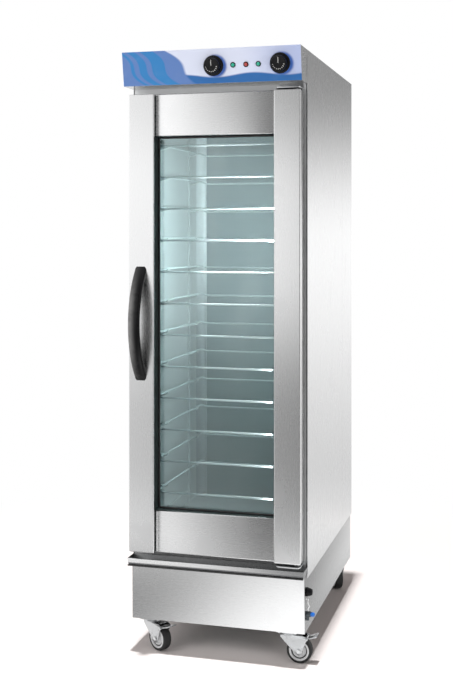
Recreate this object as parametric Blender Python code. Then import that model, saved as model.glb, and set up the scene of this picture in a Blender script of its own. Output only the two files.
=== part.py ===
"""Upright proofing cabinet: glazed swing door, twelve rod shelves, control box and steam base on casters.

Metres, +Z up. The cabinet is drawn with its body centred on X = 0, the body's front face on Y = 0
and the floor on Z = 0. At the end the whole cabinet is moved so that the middle of its footprint,
everything that sticks out included, stands on the world's origin.
"""

import math

import bmesh
import bpy
from mathutils import Matrix, Vector

# Clearances and sheet stock
GAP = 0.0003
RUNNING_GAP = 0.0003
OVERRUN = 0.004
MERGE_DISTANCE = 0.00001
SHEET = 0.0012
LINER_SHEET = 0.0010
SEAM_GAP = 0.0006

# Body
BODY_WIDTH = 0.542
BODY_DEPTH = 0.795
BODY_TOP = 1.800
SIDE_WALL_THICKNESS = 0.040
BACK_WALL_THICKNESS = 0.060
PANEL_LAP = 0.009
REAR_COVER_WRAP = 0.201
REAR_BEND_RADIUS = 0.004
FRONT_GROOVE = 0.0045
FRONT_RETURN_SETBACK = 0.011
FRONT_RETURN_WIDTH = 0.016
ROOF_FLANGE_HEIGHT = 0.015
ROOF_FLANGE_SETBACK = 0.020

# Chamber
CHAMBER_FLOOR_RISE = 0.083
CHAMBER_CEILING_DROP = 0.160
INSULATION_OVER_CEILING = 0.050

# Air duct at the back of the chamber
DUCT_DEPTH = 0.175
DUCT_SIDE_MARGIN = 0.026
DUCT_INTAKE_HEIGHT = 0.034
DUCT_SLOT_COUNT = 9
DUCT_SLOT_MARGIN = 0.070
DUCT_SLOT_WIDTH = 0.014
DUCT_SLOT_SETBACK = 0.060
DUCT_SLOT_OPEN_SHARE = 0.56

# Fan and air heater
FAN_CEILING_DROP = 0.190
FAN_RADIUS = 0.085
FAN_PLATE_THICKNESS = 0.0025
FAN_BLADE_WIDTH = 0.045
FAN_BLADE_THICKNESS = 0.002
FAN_BLADE_COUNT = 8
FAN_BLADE_ROOT_RADIUS = 0.040
FAN_HUB_RADIUS = 0.016
FAN_HUB_LENGTH = 0.022
FAN_SHAFT_RADIUS = 0.005
FAN_SHAFT_LENGTH = 0.030
FAN_MOTOR_CLEARANCE = 0.008
MOTOR_RADIUS = 0.038
MOTOR_LENGTH = 0.055
MOTOR_FLANGE_RADIUS = 0.050
MOTOR_FLANGE_THICKNESS = 0.004
MOTOR_NOSE_RADIUS = 0.014
MOTOR_NOSE_LENGTH = 0.004
HEATER_ROD_RADIUS = 0.00425
HEATER_FAN_CLEARANCE = 0.033
HEATER_RING_OPENING = 36.0
HEATER_STANDOFF = 0.052
HEATER_BEND_RADIUS = 0.016

# Shelves
SHELF_COUNT = 12
LOWEST_SHELF_RISE = 0.124
TOP_SHELF_HEADROOM = 0.1106
ROD_RADIUS = 0.003
SHELF_SIDE_MARGIN = 0.027
SHELF_FRONT_SETBACK = 0.030
SHELF_REAR_MARGIN = 0.060
SHELF_DROP = 0.007
SHELF_CORNER_RADIUS = 0.016

# Racks that carry the shelves
RACK_POST_DEPTH = 0.008
RACK_POST_WIDTH = 0.020
RACK_FRONT_MARGIN = 0.080
RACK_REAR_MARGIN = 0.060
RACK_TOP_REACH = 0.0506
RACK_TIE_HEIGHT = 0.020
RACK_TIE_THICKNESS = 0.003
LUG_LIP_HEIGHT = 0.004
LUG_LIP_THICKNESS = 0.003
LUG_ROD_PLAY = 0.0005
LUG_TIP_THICKNESS = 0.003
LUG_ROOT_THICKNESS = 0.010

# Base
BASE_INSET = 0.0045
BASE_FRONT_REACH = 0.021
BASE_HEIGHT = 0.167
BASE_FLANGE = 0.074
BASE_SHEET = 0.0015

# Water tank, dropped through the chamber floor
TANK_SIDE_MARGIN = 0.081
TANK_FRONT_SETBACK = 0.045
TANK_DEPTH = 0.200
TANK_GROUND_MARGIN = 0.035
TANK_RIM = 0.014
TANK_SHEET = 0.0010
TANK_PLAY = 0.003
STEAM_ROD_RADIUS = 0.004
STEAM_ROD_HEIGHT = 0.022
STEAM_ROD_SIDE_MARGIN = 0.035
STEAM_ROD_FRONT_MARGIN = 0.030
STEAM_BEND_RADIUS = 0.030

# Fittings on the right side of the base, their heights from its bottom
FITTING_SETBACK = 0.021
GLAND_RISE = 0.118
GLAND_HEX_RADIUS = 0.0135
GLAND_HEX_LENGTH = 0.006
GLAND_CAP_RADIUS = 0.0115
GLAND_TIP_RADIUS = 0.0085
GLAND_CAP_LENGTH = 0.012
GLAND_THREAD_RADIUS = 0.0095
GLAND_THREAD_LENGTH = 0.010
GLAND_BORE_RADIUS = 0.005
VALVE_RISE = 0.053
VALVE_RADIUS = 0.0085
VALVE_LENGTH = 0.013
VALVE_THREAD_RADIUS = 0.0060
VALVE_STEM_RADIUS = 0.0028
VALVE_BORE_DEPTH = 0.008
VALVE_SPOUT_RADIUS = 0.0045
VALVE_SPOUT_LENGTH = 0.018
VALVE_TAIL_BEND_RADIUS = 0.012
VALVE_TAIL_INSET = 0.055
VALVE_TAIL_RUN = 0.110
DRAIN_KNOB_RADIUS = 0.0065
DRAIN_KNOB_LENGTH = 0.013
DRAIN_KNOB_FLUTES = 6
DRAIN_KNOB_FLUTE_RADIUS = 0.0022
OVERFLOW_RISE = 0.098
OVERFLOW_RADIUS = 0.002
OVERFLOW_STANDOFF = 0.006
OVERFLOW_SWAY = 0.0025
OVERFLOW_WALL_REACH = 0.010

# Drip tray under the door
TRAY_REACH = 0.055
TRAY_HEIGHT = 0.023
TRAY_FRONT_SLOPE = 0.006
TRAY_END_SLOPE = 0.003

# Control box; knobs and lamps are measured from its right end
CONTROL_HEIGHT = 0.099
CONTROL_TOP_REACH = 0.099
CONTROL_BOTTOM_REACH = 0.082
CONTROL_LIP = 0.009
FASCIA_SHEET = 0.0010
VENT_SLOT_MARGIN = 0.0175
VENT_SLOT_WIDTH = 0.004
VENT_SLOT_SETBACK = 0.008
CONTROL_ROW_OFFSET = 0.0006
LEFT_KNOB_INSET = 0.261
RIGHT_KNOB_INSET = 0.062
LEFT_LAMP_INSET = 0.202
MIDDLE_LAMP_INSET = 0.163
RIGHT_LAMP_INSET = 0.126
KNOB_SKIRT_RADIUS = 0.030
KNOB_SKIRT_THICKNESS = 0.004
KNOB_GRIP_RADIUS = 0.0240
KNOB_GRIP_TAPER = 0.0015
KNOB_LENGTH = 0.026
KNOB_EDGE_RADIUS = 0.002
KNOB_POINTER_WIDTH = 0.003
KNOB_POINTER_HEIGHT = 0.001
KNOB_SPINDLE_RADIUS = 0.003
KNOB_SPINDLE_LENGTH = 0.016
LAMP_BEZEL_RADIUS = 0.008
LAMP_BEZEL_THICKNESS = 0.002
LAMP_LENS_RADIUS = 0.0055
LAMP_LENS_LENGTH = 0.005
LAMP_BARREL_RADIUS = 0.006
LAMP_BARREL_LENGTH = 0.018

# Door
DOOR_SIDE_INSET = 0.0084
DOOR_TRAY_CLEARANCE = 0.022
DOOR_CONTROL_CLEARANCE = 0.022
DOOR_REACH = 0.063
STILE_WIDTH = 0.079
STILE_EDGE_RADIUS = 0.003
SKIN_RETURN = 0.006
RAIL_SETBACK = 0.0145
TOP_RAIL_HEIGHT = 0.126
BOTTOM_RAIL_HEIGHT = 0.126
GLASS_THICKNESS = 0.005
GLASS_LAP = 0.015
INNER_SKIN_SHEET = 0.0010
INNER_SKIN_MARGIN = 0.004
SEAL_THICKNESS = 0.0073
SEAL_WIDTH = 0.012
SEAL_HINGE_MARGIN = 0.002

# Hinges
PIVOT_INSET = 0.016
PIVOT_REACH = 0.037
HINGE_PIN_RADIUS = 0.004
HINGE_PIN_GRIP = 0.012
HINGE_PLATE_THICKNESS = 0.004
HINGE_PLATE_OUTER = 0.014
HINGE_PLATE_INNER = 0.059
HINGE_PLATE_REACH = 0.061
HINGE_FLANGE_HEIGHT = 0.016
LOWER_HINGE_FLANGE_HEIGHT = 0.013
HINGE_FLANGE_THICKNESS = 0.003
HINGE_FLANGE_INSET = 0.001
HINGE_DOOR_GAP = 0.0045
HINGE_COLLAR_RADIUS = 0.008
LOWER_HINGE_DOOR_GAP = 0.0075
HINGE_CORNER_RADIUS = 0.010

# Door handle
HANDLE_INSET = 0.0436
HANDLE_LENGTH = 0.341
HANDLE_BOW = 0.070
HANDLE_THICKNESS = 0.017
HANDLE_WIDTH = 0.028
HANDLE_PAD_LENGTH = 0.034
HANDLE_EDGE_RADIUS = 0.0045

# Casters
CASTER_PLATE_WIDTH = 0.062
CASTER_PLATE_THICKNESS = 0.0025
CASTER_PLATE_MARGIN = 0.004
CASTER_SIDE_MARGIN = 0.0235
CASTER_TRAIL = 0.033
WHEEL_RADIUS = 0.0375
WHEEL_WIDTH = 0.028
TYRE_SHOULDER = 0.003
TYRE_CROWN_INSET = 0.004
TYRE_THICKNESS = 0.010
RIM_INSET = 0.0015
RIM_FLARE = 0.002
HUB_RADIUS = 0.011
HUB_REACH = 0.0015
HUB_TAPER = 0.0015
WEB_WIDTH = 0.016
AXLE_RADIUS = 0.005
AXLE_END = 0.0025
FORK_TYRE_CLEARANCE = 0.005
FORK_HUB_CLEARANCE = 0.0015
FORK_SHEET = 0.0025
FORK_HEAD_RADIUS = 0.024
FORK_HEAD_HEIGHT = 0.0122
FORK_BRIDGE_THICKNESS = 0.003
FORK_FRONT_REACH = 0.022
FORK_EYE_RADIUS = 0.012
FORK_EAR_RADIUS = 0.0055
FORK_SHOULDER_DROP = 0.007
KINGPIN_RADIUS = 0.006
KINGPIN_HEAD_RADIUS = 0.009
KINGPIN_HEAD_THICKNESS = 0.003
PEDAL_TYRE_CLEARANCE = 0.0055
PEDAL_PIVOT_ANGLE = 59.23
PEDAL_BRIDGE_MARGIN = 0.009
PEDAL_PIN_RADIUS = 0.0025
PEDAL_BARREL_RADIUS = 0.0045
PEDAL_SIDE_CLEARANCE = 0.0015
PEDAL_FOOT_START = 0.009
PEDAL_FOOT_LENGTH = 0.023
PEDAL_FOOT_WIDTH = 0.036
PEDAL_RISE = 0.009
PEDAL_THICKNESS = 0.0025
PEDAL_LIP = 0.002
PEDAL_NOSE_THICKNESS = 0.004

# Facet counts
ROUND_SIDES = 24
SMALL_SIDES = 12
LAMP_SIDES = 14
WHEEL_SIDES = 20
PIN_SIDES = 8
CORNER_STEPS = 3
SMOOTH_EDGE_ANGLE = math.radians(35)

# Which way each caster trails in the photograph, degrees turned from +X
CASTER_YAWS = {"front_right": 0.0, "front_left": -31.0, "rear_right": -62.0, "rear_left": -20.0}
BRAKED_CASTERS = ("front_right", "front_left")

# Casters from the floor up to the base
FORK_HEAD_BOTTOM = 2 * WHEEL_RADIUS + FORK_TYRE_CLEARANCE
FORK_HEAD_TOP = FORK_HEAD_BOTTOM + FORK_HEAD_HEIGHT
FORK_INNER_HALF = WHEEL_WIDTH / 2 + HUB_REACH + FORK_HUB_CLEARANCE
CASTER_PLATE_UNDERSIDE = FORK_HEAD_TOP + GAP
PEDAL_PIVOT_DISTANCE = WHEEL_RADIUS + PEDAL_TYRE_CLEARANCE
PEDAL_PIVOT_TURN = math.radians(PEDAL_PIVOT_ANGLE)
PEDAL_PIVOT_REACH = CASTER_TRAIL + PEDAL_PIVOT_DISTANCE * math.cos(PEDAL_PIVOT_TURN)
PEDAL_PIVOT_HEIGHT = WHEEL_RADIUS + PEDAL_PIVOT_DISTANCE * math.sin(PEDAL_PIVOT_TURN)
FORK_REAR_REACH = PEDAL_PIVOT_REACH - PEDAL_BRIDGE_MARGIN

# Levels from the base up and from the top down
BASE_BOTTOM = CASTER_PLATE_UNDERSIDE + CASTER_PLATE_THICKNESS
BASE_TOP = BASE_BOTTOM + BASE_HEIGHT
PANEL_BOTTOM = BASE_TOP - PANEL_LAP
LID_UNDERSIDE = BODY_TOP - SHEET - GAP
CONTROL_BOTTOM = BODY_TOP - CONTROL_HEIGHT
TRAY_RIM = BASE_TOP + TRAY_HEIGHT
DOOR_BOTTOM = TRAY_RIM + DOOR_TRAY_CLEARANCE
DOOR_TOP = CONTROL_BOTTOM - DOOR_CONTROL_CLEARANCE
CHAMBER_FLOOR = BASE_TOP + CHAMBER_FLOOR_RISE
CHAMBER_CEILING = BODY_TOP - CHAMBER_CEILING_DROP
INSULATION_TOP = CHAMBER_CEILING + INSULATION_OVER_CEILING
FAN_CENTRE_HEIGHT = CHAMBER_CEILING - FAN_CEILING_DROP
LOWEST_SHELF_HEIGHT = CHAMBER_FLOOR + LOWEST_SHELF_RISE
TOP_SHELF_HEIGHT = CHAMBER_CEILING - TOP_SHELF_HEADROOM
SHELF_PITCH = (TOP_SHELF_HEIGHT - LOWEST_SHELF_HEIGHT) / (SHELF_COUNT - 1)
TANK_BOTTOM = BASE_BOTTOM + TANK_GROUND_MARGIN
GLAND_HEIGHT = BASE_BOTTOM + GLAND_RISE
VALVE_HEIGHT = BASE_BOTTOM + VALVE_RISE
OVERFLOW_HEIGHT = BASE_BOTTOM + OVERFLOW_RISE

# Widths and depths
BODY_HALF = BODY_WIDTH / 2
CHAMBER_HALF = BODY_HALF - SIDE_WALL_THICKNESS
FACE_HALF = BODY_HALF - FRONT_GROOVE
SIDE_SEAM = BODY_DEPTH - REAR_COVER_WRAP
LINER_BACK = BODY_DEPTH - BACK_WALL_THICKNESS
DUCT_HALF = CHAMBER_HALF - DUCT_SIDE_MARGIN
DUCT_FACE = LINER_BACK - DUCT_DEPTH
SHELF_HALF = CHAMBER_HALF - SHELF_SIDE_MARGIN
SHELF_BACK = DUCT_FACE - SHELF_REAR_MARGIN
BASE_HALF = BODY_HALF - BASE_INSET
BASE_BACK = BODY_DEPTH - BASE_INSET
TANK_HALF = CHAMBER_HALF - TANK_SIDE_MARGIN
TANK_FRONT = TANK_FRONT_SETBACK
TANK_BACK = TANK_FRONT_SETBACK + TANK_DEPTH
FITTING_Y = FITTING_SETBACK - BASE_FRONT_REACH
CASTER_X = BASE_HALF - CASTER_SIDE_MARGIN - CASTER_PLATE_WIDTH / 2
CASTER_FRONT_Y = CASTER_PLATE_MARGIN + CASTER_PLATE_WIDTH / 2 - BASE_FRONT_REACH
CASTER_BACK_Y = BASE_BACK - CASTER_PLATE_MARGIN - CASTER_PLATE_WIDTH / 2
CASTER_PLACES = {
    "front_right": (CASTER_X, CASTER_FRONT_Y),
    "front_left": (-CASTER_X, CASTER_FRONT_Y),
    "rear_right": (CASTER_X, CASTER_BACK_Y),
    "rear_left": (-CASTER_X, CASTER_BACK_Y),
}

# Door, from its front to the seal
DOOR_HALF = BODY_HALF - DOOR_SIDE_INSET
DOOR_FRONT = -DOOR_REACH
WINDOW_HALF = DOOR_HALF - STILE_WIDTH
WINDOW_TOP = DOOR_TOP - TOP_RAIL_HEIGHT
WINDOW_BOTTOM = DOOR_BOTTOM + BOTTOM_RAIL_HEIGHT
SKIN_STEP = SHEET + GAP
SEAL_FRONT = -GAP - SEAL_THICKNESS
INNER_SKIN_FRONT = SEAL_FRONT - GAP - INNER_SKIN_SHEET
CORE_BACK = INNER_SKIN_FRONT - GAP
PIVOT_X = DOOR_HALF - PIVOT_INSET
PIVOT_Y = -PIVOT_REACH

# Slanted control face
CONTROL_SLANT = CONTROL_TOP_REACH - CONTROL_BOTTOM_REACH
CONTROL_TILT = math.atan2(CONTROL_SLANT, CONTROL_HEIGHT)
FASCIA_HEIGHT = math.hypot(CONTROL_SLANT, CONTROL_HEIGHT)
CONTROL_FACE_MIDDLE = Vector(
    (0, -(CONTROL_TOP_REACH + CONTROL_BOTTOM_REACH) / 2, (BODY_TOP + CONTROL_BOTTOM) / 2)
)
LEFT_KNOB_X = BODY_HALF - LEFT_KNOB_INSET
RIGHT_KNOB_X = BODY_HALF - RIGHT_KNOB_INSET
LEFT_LAMP_X = BODY_HALF - LEFT_LAMP_INSET
MIDDLE_LAMP_X = BODY_HALF - MIDDLE_LAMP_INSET
RIGHT_LAMP_X = BODY_HALF - RIGHT_LAMP_INSET

# Looks: colour, roughness, metallic
STAINLESS = ((0.72, 0.73, 0.74), 0.28, 1.0)
LINER_STEEL = ((0.66, 0.70, 0.70), 0.35, 1.0)
ZINC = ((0.62, 0.63, 0.64), 0.35, 1.0)
CHROME_ROD = ((0.80, 0.82, 0.83), 0.18, 1.0)
BLACK_PLASTIC = ((0.02, 0.02, 0.022), 0.35, 0.0)
BLACK_RUBBER = ((0.03, 0.03, 0.03), 0.8, 0.0)
DARK_STEEL = ((0.25, 0.25, 0.26), 0.45, 1.0)
MINERAL_WOOL = ((0.62, 0.56, 0.40), 0.95, 0.0)
FASCIA_FILM = ((0.72, 0.74, 0.92), 0.35, 0.0)
GREEN_LENS = ((0.02, 0.45, 0.25), 0.2, 0.0)
RED_LENS = ((0.60, 0.04, 0.05), 0.2, 0.0)
BLUE_PLASTIC = ((0.03, 0.18, 0.60), 0.35, 0.0)
GREY_PLASTIC = ((0.10, 0.12, 0.14), 0.5, 0.0)
CLEAR_GLASS = ((0.72, 0.84, 0.84), 0.05, 0.0)
ALUMINIUM = ((0.70, 0.71, 0.72), 0.4, 1.0)


# Meshes

def clear_scene():
    """Remove every object that is in the file when the script starts."""
    for thing in list(bpy.data.objects):
        bpy.data.objects.remove(thing, do_unlink=True)


def finish_mesh(work, name):
    """Turn a closed bmesh into a mesh with its faces pointing out."""
    bmesh.ops.recalc_face_normals(work, faces=work.faces)
    mesh = bpy.data.meshes.new(name)
    work.to_mesh(mesh)
    work.free()
    return mesh


def box_mesh(low, high):
    """A rectangular block between two corners."""
    work = bmesh.new()
    middle = [(a + b) / 2 for a, b in zip(low, high)]
    spans = [b - a for a, b in zip(low, high)]
    matrix = Matrix.Translation(middle) @ Matrix.Diagonal((*spans, 1))
    bmesh.ops.create_cube(work, size=1, matrix=matrix)
    return finish_mesh(work, "box")


def turned_mesh(profile, sides=ROUND_SIDES, circumscribed=False):
    """Turn a closed (radius, height) outline round Z; a radius of zero closes on the axis."""
    work = bmesh.new()
    reach = 1 / math.cos(math.pi / sides) if circumscribed else 1
    rings = []
    for radius, height in profile:
        if radius == 0:
            rings.append([work.verts.new((0, 0, height))] * sides)
            continue
        angles = [2 * math.pi * (step + 0.5) / sides for step in range(sides)]
        corner = radius * reach
        rings.append(
            [work.verts.new((corner * math.cos(a), corner * math.sin(a), height)) for a in angles]
        )
    for here, there in zip(rings, rings[1:] + rings[:1]):
        for step in range(sides):
            after = (step + 1) % sides
            corners = []
            for vert in (here[step], here[after], there[after], there[step]):
                if vert not in corners:
                    corners.append(vert)
            if len(corners) > 2:
                work.faces.new(corners)
    return finish_mesh(work, "turned")


def solid_profile(outline):
    """An outline for turned_mesh whose first and last points lie on the axis."""
    return [(0, outline[0][1])] + list(outline) + [(0, outline[-1][1])]


def prism_mesh(outline, plane, start, end):
    """Extrude a flat outline. The plane XZ runs along Y, YZ along X and XY along Z."""
    work = bmesh.new()
    place = {
        "XZ": lambda a, b, t: (a, t, b),
        "YZ": lambda a, b, t: (t, a, b),
        "XY": lambda a, b, t: (a, b, t),
    }[plane]
    near = [work.verts.new(place(a, b, start)) for a, b in outline]
    far = [work.verts.new(place(a, b, end)) for a, b in outline]
    work.faces.new(near)
    work.faces.new(list(reversed(far)))
    for step in range(len(outline)):
        after = (step + 1) % len(outline)
        work.faces.new((near[step], far[step], far[after], near[after]))
    return finish_mesh(work, "prism")


def sheet_mesh(rings, thickness, cap=False, flip=False):
    """Loft rings of points into one folded sheet and give it its thickness."""
    work = bmesh.new()
    loops = [[work.verts.new(point) for point in ring] for ring in rings]
    for here, there in zip(loops, loops[1:]):
        for step in range(len(here)):
            after = (step + 1) % len(here)
            work.faces.new((here[step], here[after], there[after], there[step]))
    if cap:
        work.faces.new(loops[-1])
    if flip:
        bmesh.ops.reverse_faces(work, faces=work.faces)
    mesh = bpy.data.meshes.new("sheet")
    work.to_mesh(mesh)
    work.free()
    return thickened(mesh, thickness)


def lofted_mesh(rings):
    """Loft rings of points into a solid and close its first and last ring."""
    work = bmesh.new()
    loops = [[work.verts.new(point) for point in ring] for ring in rings]
    for here, there in zip(loops, loops[1:]):
        for step in range(len(here)):
            after = (step + 1) % len(here)
            work.faces.new((here[step], here[after], there[after], there[step]))
    work.faces.new(loops[0][::-1])
    work.faces.new(loops[-1])
    return finish_mesh(work, "loft")


def evaluated_mesh(carrier, name):
    """The mesh of an object with its modifiers applied; the object is removed."""
    bpy.context.view_layer.update()
    graph = bpy.context.evaluated_depsgraph_get()
    mesh = bpy.data.meshes.new_from_object(carrier.evaluated_get(graph))
    mesh.name = name
    bpy.data.objects.remove(carrier, do_unlink=True)
    return mesh


def loose_object(mesh):
    """An object that only carries a mesh while modifiers work on it."""
    carrier = bpy.data.objects.new("work", mesh)
    bpy.context.scene.collection.objects.link(carrier)
    return carrier


def thickened(mesh, thickness):
    """Solidify a sheet behind its visible side."""
    carrier = loose_object(mesh)
    solidify = carrier.modifiers.new("thickness", "SOLIDIFY")
    solidify.thickness = thickness
    solidify.offset = -1
    solidify.use_even_offset = True
    solidify.use_quality_normals = True
    return evaluated_mesh(carrier, "sheet")


def rounded(mesh, radius, steps, angle=math.radians(50)):
    """Round every edge that is sharper than an angle."""
    carrier = loose_object(mesh)
    bevel = carrier.modifiers.new("rounding", "BEVEL")
    bevel.width = radius
    bevel.segments = steps
    bevel.limit_method = "ANGLE"
    bevel.angle_limit = angle
    return evaluated_mesh(carrier, "rounded")


def combined(base, add=(), cut=()):
    """Join meshes to a base and cut others from it."""
    carrier = loose_object(base)
    helpers = []
    for operation, group in (("UNION", add), ("DIFFERENCE", cut)):
        for mesh in group:
            helper = loose_object(mesh)
            helpers.append(helper)
            boolean = carrier.modifiers.new(operation.lower(), "BOOLEAN")
            boolean.operation = operation
            boolean.solver = "EXACT"
            boolean.object = helper
    result = evaluated_mesh(carrier, "combined")
    for helper in helpers:
        bpy.data.objects.remove(helper, do_unlink=True)
    work = bmesh.new()
    work.from_mesh(result)
    bmesh.ops.remove_doubles(work, verts=work.verts, dist=MERGE_DISTANCE)
    bmesh.ops.dissolve_degenerate(work, edges=work.edges, dist=MERGE_DISTANCE)
    work.to_mesh(result)
    work.free()
    return result


def moved(mesh, matrix):
    """A copy of a mesh under a transform, facing out again if the transform mirrors."""
    copy = mesh.copy()
    copy.transform(matrix)
    if matrix.determinant() < 0:
        copy.flip_normals()
    return copy


def along_x(mesh, place):
    """Stand a mesh that was turned round Z on an axis that runs along +X."""
    return moved(mesh, Matrix.Translation(place) @ Matrix.Rotation(math.pi / 2, 4, "Y"))


def along_y(mesh, place):
    """Stand a mesh that was turned round Z on an axis that runs along -Y."""
    return moved(mesh, Matrix.Translation(place) @ Matrix.Rotation(math.pi / 2, 4, "X"))


def rect_facing(half, low, high, y):
    """A rectangle in the XZ plane at a depth."""
    return [(-half, y, low), (half, y, low), (half, y, high), (-half, y, high)]


def rect_level(x_low, x_high, y_low, y_high, z):
    """A rectangle in the XY plane at a height."""
    return [(x_low, y_low, z), (x_high, y_low, z), (x_high, y_high, z), (x_low, y_high, z)]


def arc(middle, radius, start, end, steps):
    """Points on an arc in a plane, angles in degrees."""
    points = []
    for step in range(steps + 1):
        angle = math.radians(start + (end - start) * step / steps)
        points.append((middle[0] + radius * math.cos(angle), middle[1] + radius * math.sin(angle)))
    return points


def filleted(points, radius, steps, closed=False):
    """Round the corners of a path in space with arcs of one radius."""
    result = []
    last = len(points) - 1
    for index, point in enumerate(points):
        if not closed and index in (0, last):
            result.append(Vector(point))
            continue
        here = Vector(point)
        before = (Vector(points[index - 1]) - here).normalized()
        after = (Vector(points[(index + 1) % len(points)]) - here).normalized()
        half_angle = before.angle(after) / 2
        reach = radius / math.tan(half_angle)
        middle = here + (before + after).normalized() * (radius / math.sin(half_angle))
        first = here + before * reach - middle
        final = here + after * reach - middle
        sweep = first.angle(final)
        for step in range(steps + 1):
            share = step / steps
            weight_first = math.sin((1 - share) * sweep) / math.sin(sweep)
            weight_final = math.sin(share * sweep) / math.sin(sweep)
            result.append(middle + first * weight_first + final * weight_final)
    return result


def tube_mesh(points, radius, closed=False, fineness=1):
    """A round rod along a path, as a bevelled curve with filled ends."""
    curve = bpy.data.curves.new("rod", "CURVE")
    curve.dimensions = "3D"
    curve.bevel_depth = radius
    curve.bevel_resolution = fineness
    curve.use_fill_caps = True
    spline = curve.splines.new("POLY")
    spline.points.add(len(points) - 1)
    for target, point in zip(spline.points, points):
        target.co = (*point, 1)
    spline.use_cyclic_u = closed
    carrier = bpy.data.objects.new("work", curve)
    bpy.context.scene.collection.objects.link(carrier)
    mesh = evaluated_mesh(carrier, "rod")
    work = bmesh.new()
    work.from_mesh(mesh)
    bmesh.ops.remove_doubles(work, verts=work.verts, dist=radius / 100)
    return finish_mesh(work, "rod")


# Objects

def finish_named(name, look):
    """A Principled material from a colour, a roughness and a metallic value."""
    colour, roughness, metallic = look
    material = bpy.data.materials.new(name)
    material.use_nodes = True
    shader = material.node_tree.nodes["Principled BSDF"]
    shader.inputs["Base Color"].default_value = (*colour, 1)
    shader.inputs["Roughness"].default_value = roughness
    shader.inputs["Metallic"].default_value = metallic
    return material


def piece(name, mesh, look, parent, origin=(0, 0, 0), smooth=False):
    """Make one named sub-part. Its mesh is given in its parent's frame."""
    mesh = mesh.copy()
    mesh.name = name
    mesh.transform(Matrix.Translation(-Vector(origin)))
    mesh.materials.clear()
    mesh.materials.append(finish_named(name, look))
    if smooth:
        mesh.shade_smooth()
        mesh.set_sharp_from_angle(angle=SMOOTH_EDGE_ANGLE)
    thing = bpy.data.objects.new(name, mesh)
    bpy.context.scene.collection.objects.link(thing)
    thing.parent = parent
    thing.location = origin
    return thing


def frame_empty(name, parent=None, location=(0, 0, 0), rotation=(0, 0, 0)):
    """An empty that carries pieces and marks a joint's axis."""
    empty = bpy.data.objects.new(name, None)
    bpy.context.scene.collection.objects.link(empty)
    empty.parent = parent
    empty.location = location
    empty.rotation_euler = rotation
    return empty


# Body shell

def side_panel(side):
    """One folded side skin: flat outside, turned in behind the face flange at the front."""
    rear = SIDE_SEAM - SEAM_GAP / 2
    faces = sorted((side * BODY_HALF, side * (BODY_HALF - SHEET)))
    skin = box_mesh((faces[0], 0, PANEL_BOTTOM), (faces[1], rear, LID_UNDERSIDE))
    fold = sorted(
        (side * (BODY_HALF - SHEET / 2), side * (BODY_HALF - SHEET - FRONT_RETURN_WIDTH))
    )
    fold_front = FRONT_RETURN_SETBACK + GAP
    turned_in = box_mesh(
        (fold[0], fold_front, BASE_TOP + GAP),
        (fold[1], fold_front + SHEET, LID_UNDERSIDE - SHEET),
    )
    return combined(skin, add=[turned_in])


def rear_cover():
    """The back skin, which wraps round the rear of both sides with bent corners."""
    front = SIDE_SEAM + SEAM_GAP / 2
    outer_arc = arc(
        (BODY_HALF - REAR_BEND_RADIUS, BODY_DEPTH - REAR_BEND_RADIUS),
        REAR_BEND_RADIUS, 0, 90, CORNER_STEPS,
    )
    inner_arc = arc(
        (BODY_HALF - REAR_BEND_RADIUS, BODY_DEPTH - REAR_BEND_RADIUS),
        REAR_BEND_RADIUS - SHEET, 90, 0, CORNER_STEPS,
    )
    right = [(BODY_HALF, front)] + outer_arc
    left = [(-x, y) for x, y in reversed(right)]
    inner_right = inner_arc + [(BODY_HALF - SHEET, front)]
    inner_left = [(-x, y) for x, y in reversed(inner_right)]
    return prism_mesh(right + left + inner_left + inner_right, "XY", PANEL_BOTTOM, LID_UNDERSIDE)


def roof_panel():
    """The lid: a flat sheet with a stiffening flange folded down inside each side."""
    low = BODY_TOP - SHEET
    plate = box_mesh((-BODY_HALF, 0, low), (BODY_HALF, BODY_DEPTH, BODY_TOP))
    outer = BODY_HALF - SHEET - GAP
    flanges = []
    for side in (-1, 1):
        edges = sorted((side * outer, side * (outer - SHEET)))
        flanges.append(
            box_mesh(
                (edges[0], ROOF_FLANGE_SETBACK, low - ROOF_FLANGE_HEIGHT),
                (edges[1], BODY_DEPTH - ROOF_FLANGE_SETBACK, low + SHEET / 2),
            )
        )
    return combined(plate, add=flanges)


def tank_hole(play, low, high):
    """The block that makes room for the water tank's walls."""
    return box_mesh(
        (-TANK_HALF - play, TANK_FRONT - play, low),
        (TANK_HALF + play, TANK_BACK + play, high),
    )


def chamber_liner():
    """The welded inner box with the face flange that the door's seal closes on."""
    rings = [
        rect_facing(FACE_HALF, BASE_TOP + GAP, LID_UNDERSIDE, FRONT_RETURN_SETBACK),
        rect_facing(FACE_HALF, BASE_TOP + GAP, LID_UNDERSIDE, 0),
        rect_facing(CHAMBER_HALF, CHAMBER_FLOOR, CHAMBER_CEILING, 0),
        rect_facing(CHAMBER_HALF, CHAMBER_FLOOR, CHAMBER_CEILING, LINER_BACK),
    ]
    shell = sheet_mesh(rings, LINER_SHEET, cap=True)
    hole = tank_hole(TANK_PLAY, CHAMBER_FLOOR - LINER_SHEET - OVERRUN, CHAMBER_FLOOR + OVERRUN)
    return combined(shell, cut=[hole])


def insulation_jacket():
    """The mineral wool between the liner and the outer skins."""
    outside = BODY_HALF - SHEET - GAP
    front = FRONT_RETURN_SETBACK + SHEET + 2 * GAP
    block = box_mesh(
        (-outside, front, BASE_TOP + GAP),
        (outside, BODY_DEPTH - REAR_BEND_RADIUS - SHEET, INSULATION_TOP),
    )
    step = LINER_SHEET + GAP
    cavity = box_mesh(
        (-CHAMBER_HALF - step, front - OVERRUN, CHAMBER_FLOOR - step),
        (CHAMBER_HALF + step, LINER_BACK + step, CHAMBER_CEILING + step),
    )
    return combined(block, cut=[cavity, tank_hole(TANK_PLAY, BASE_TOP - OVERRUN, CHAMBER_FLOOR)])


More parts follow.
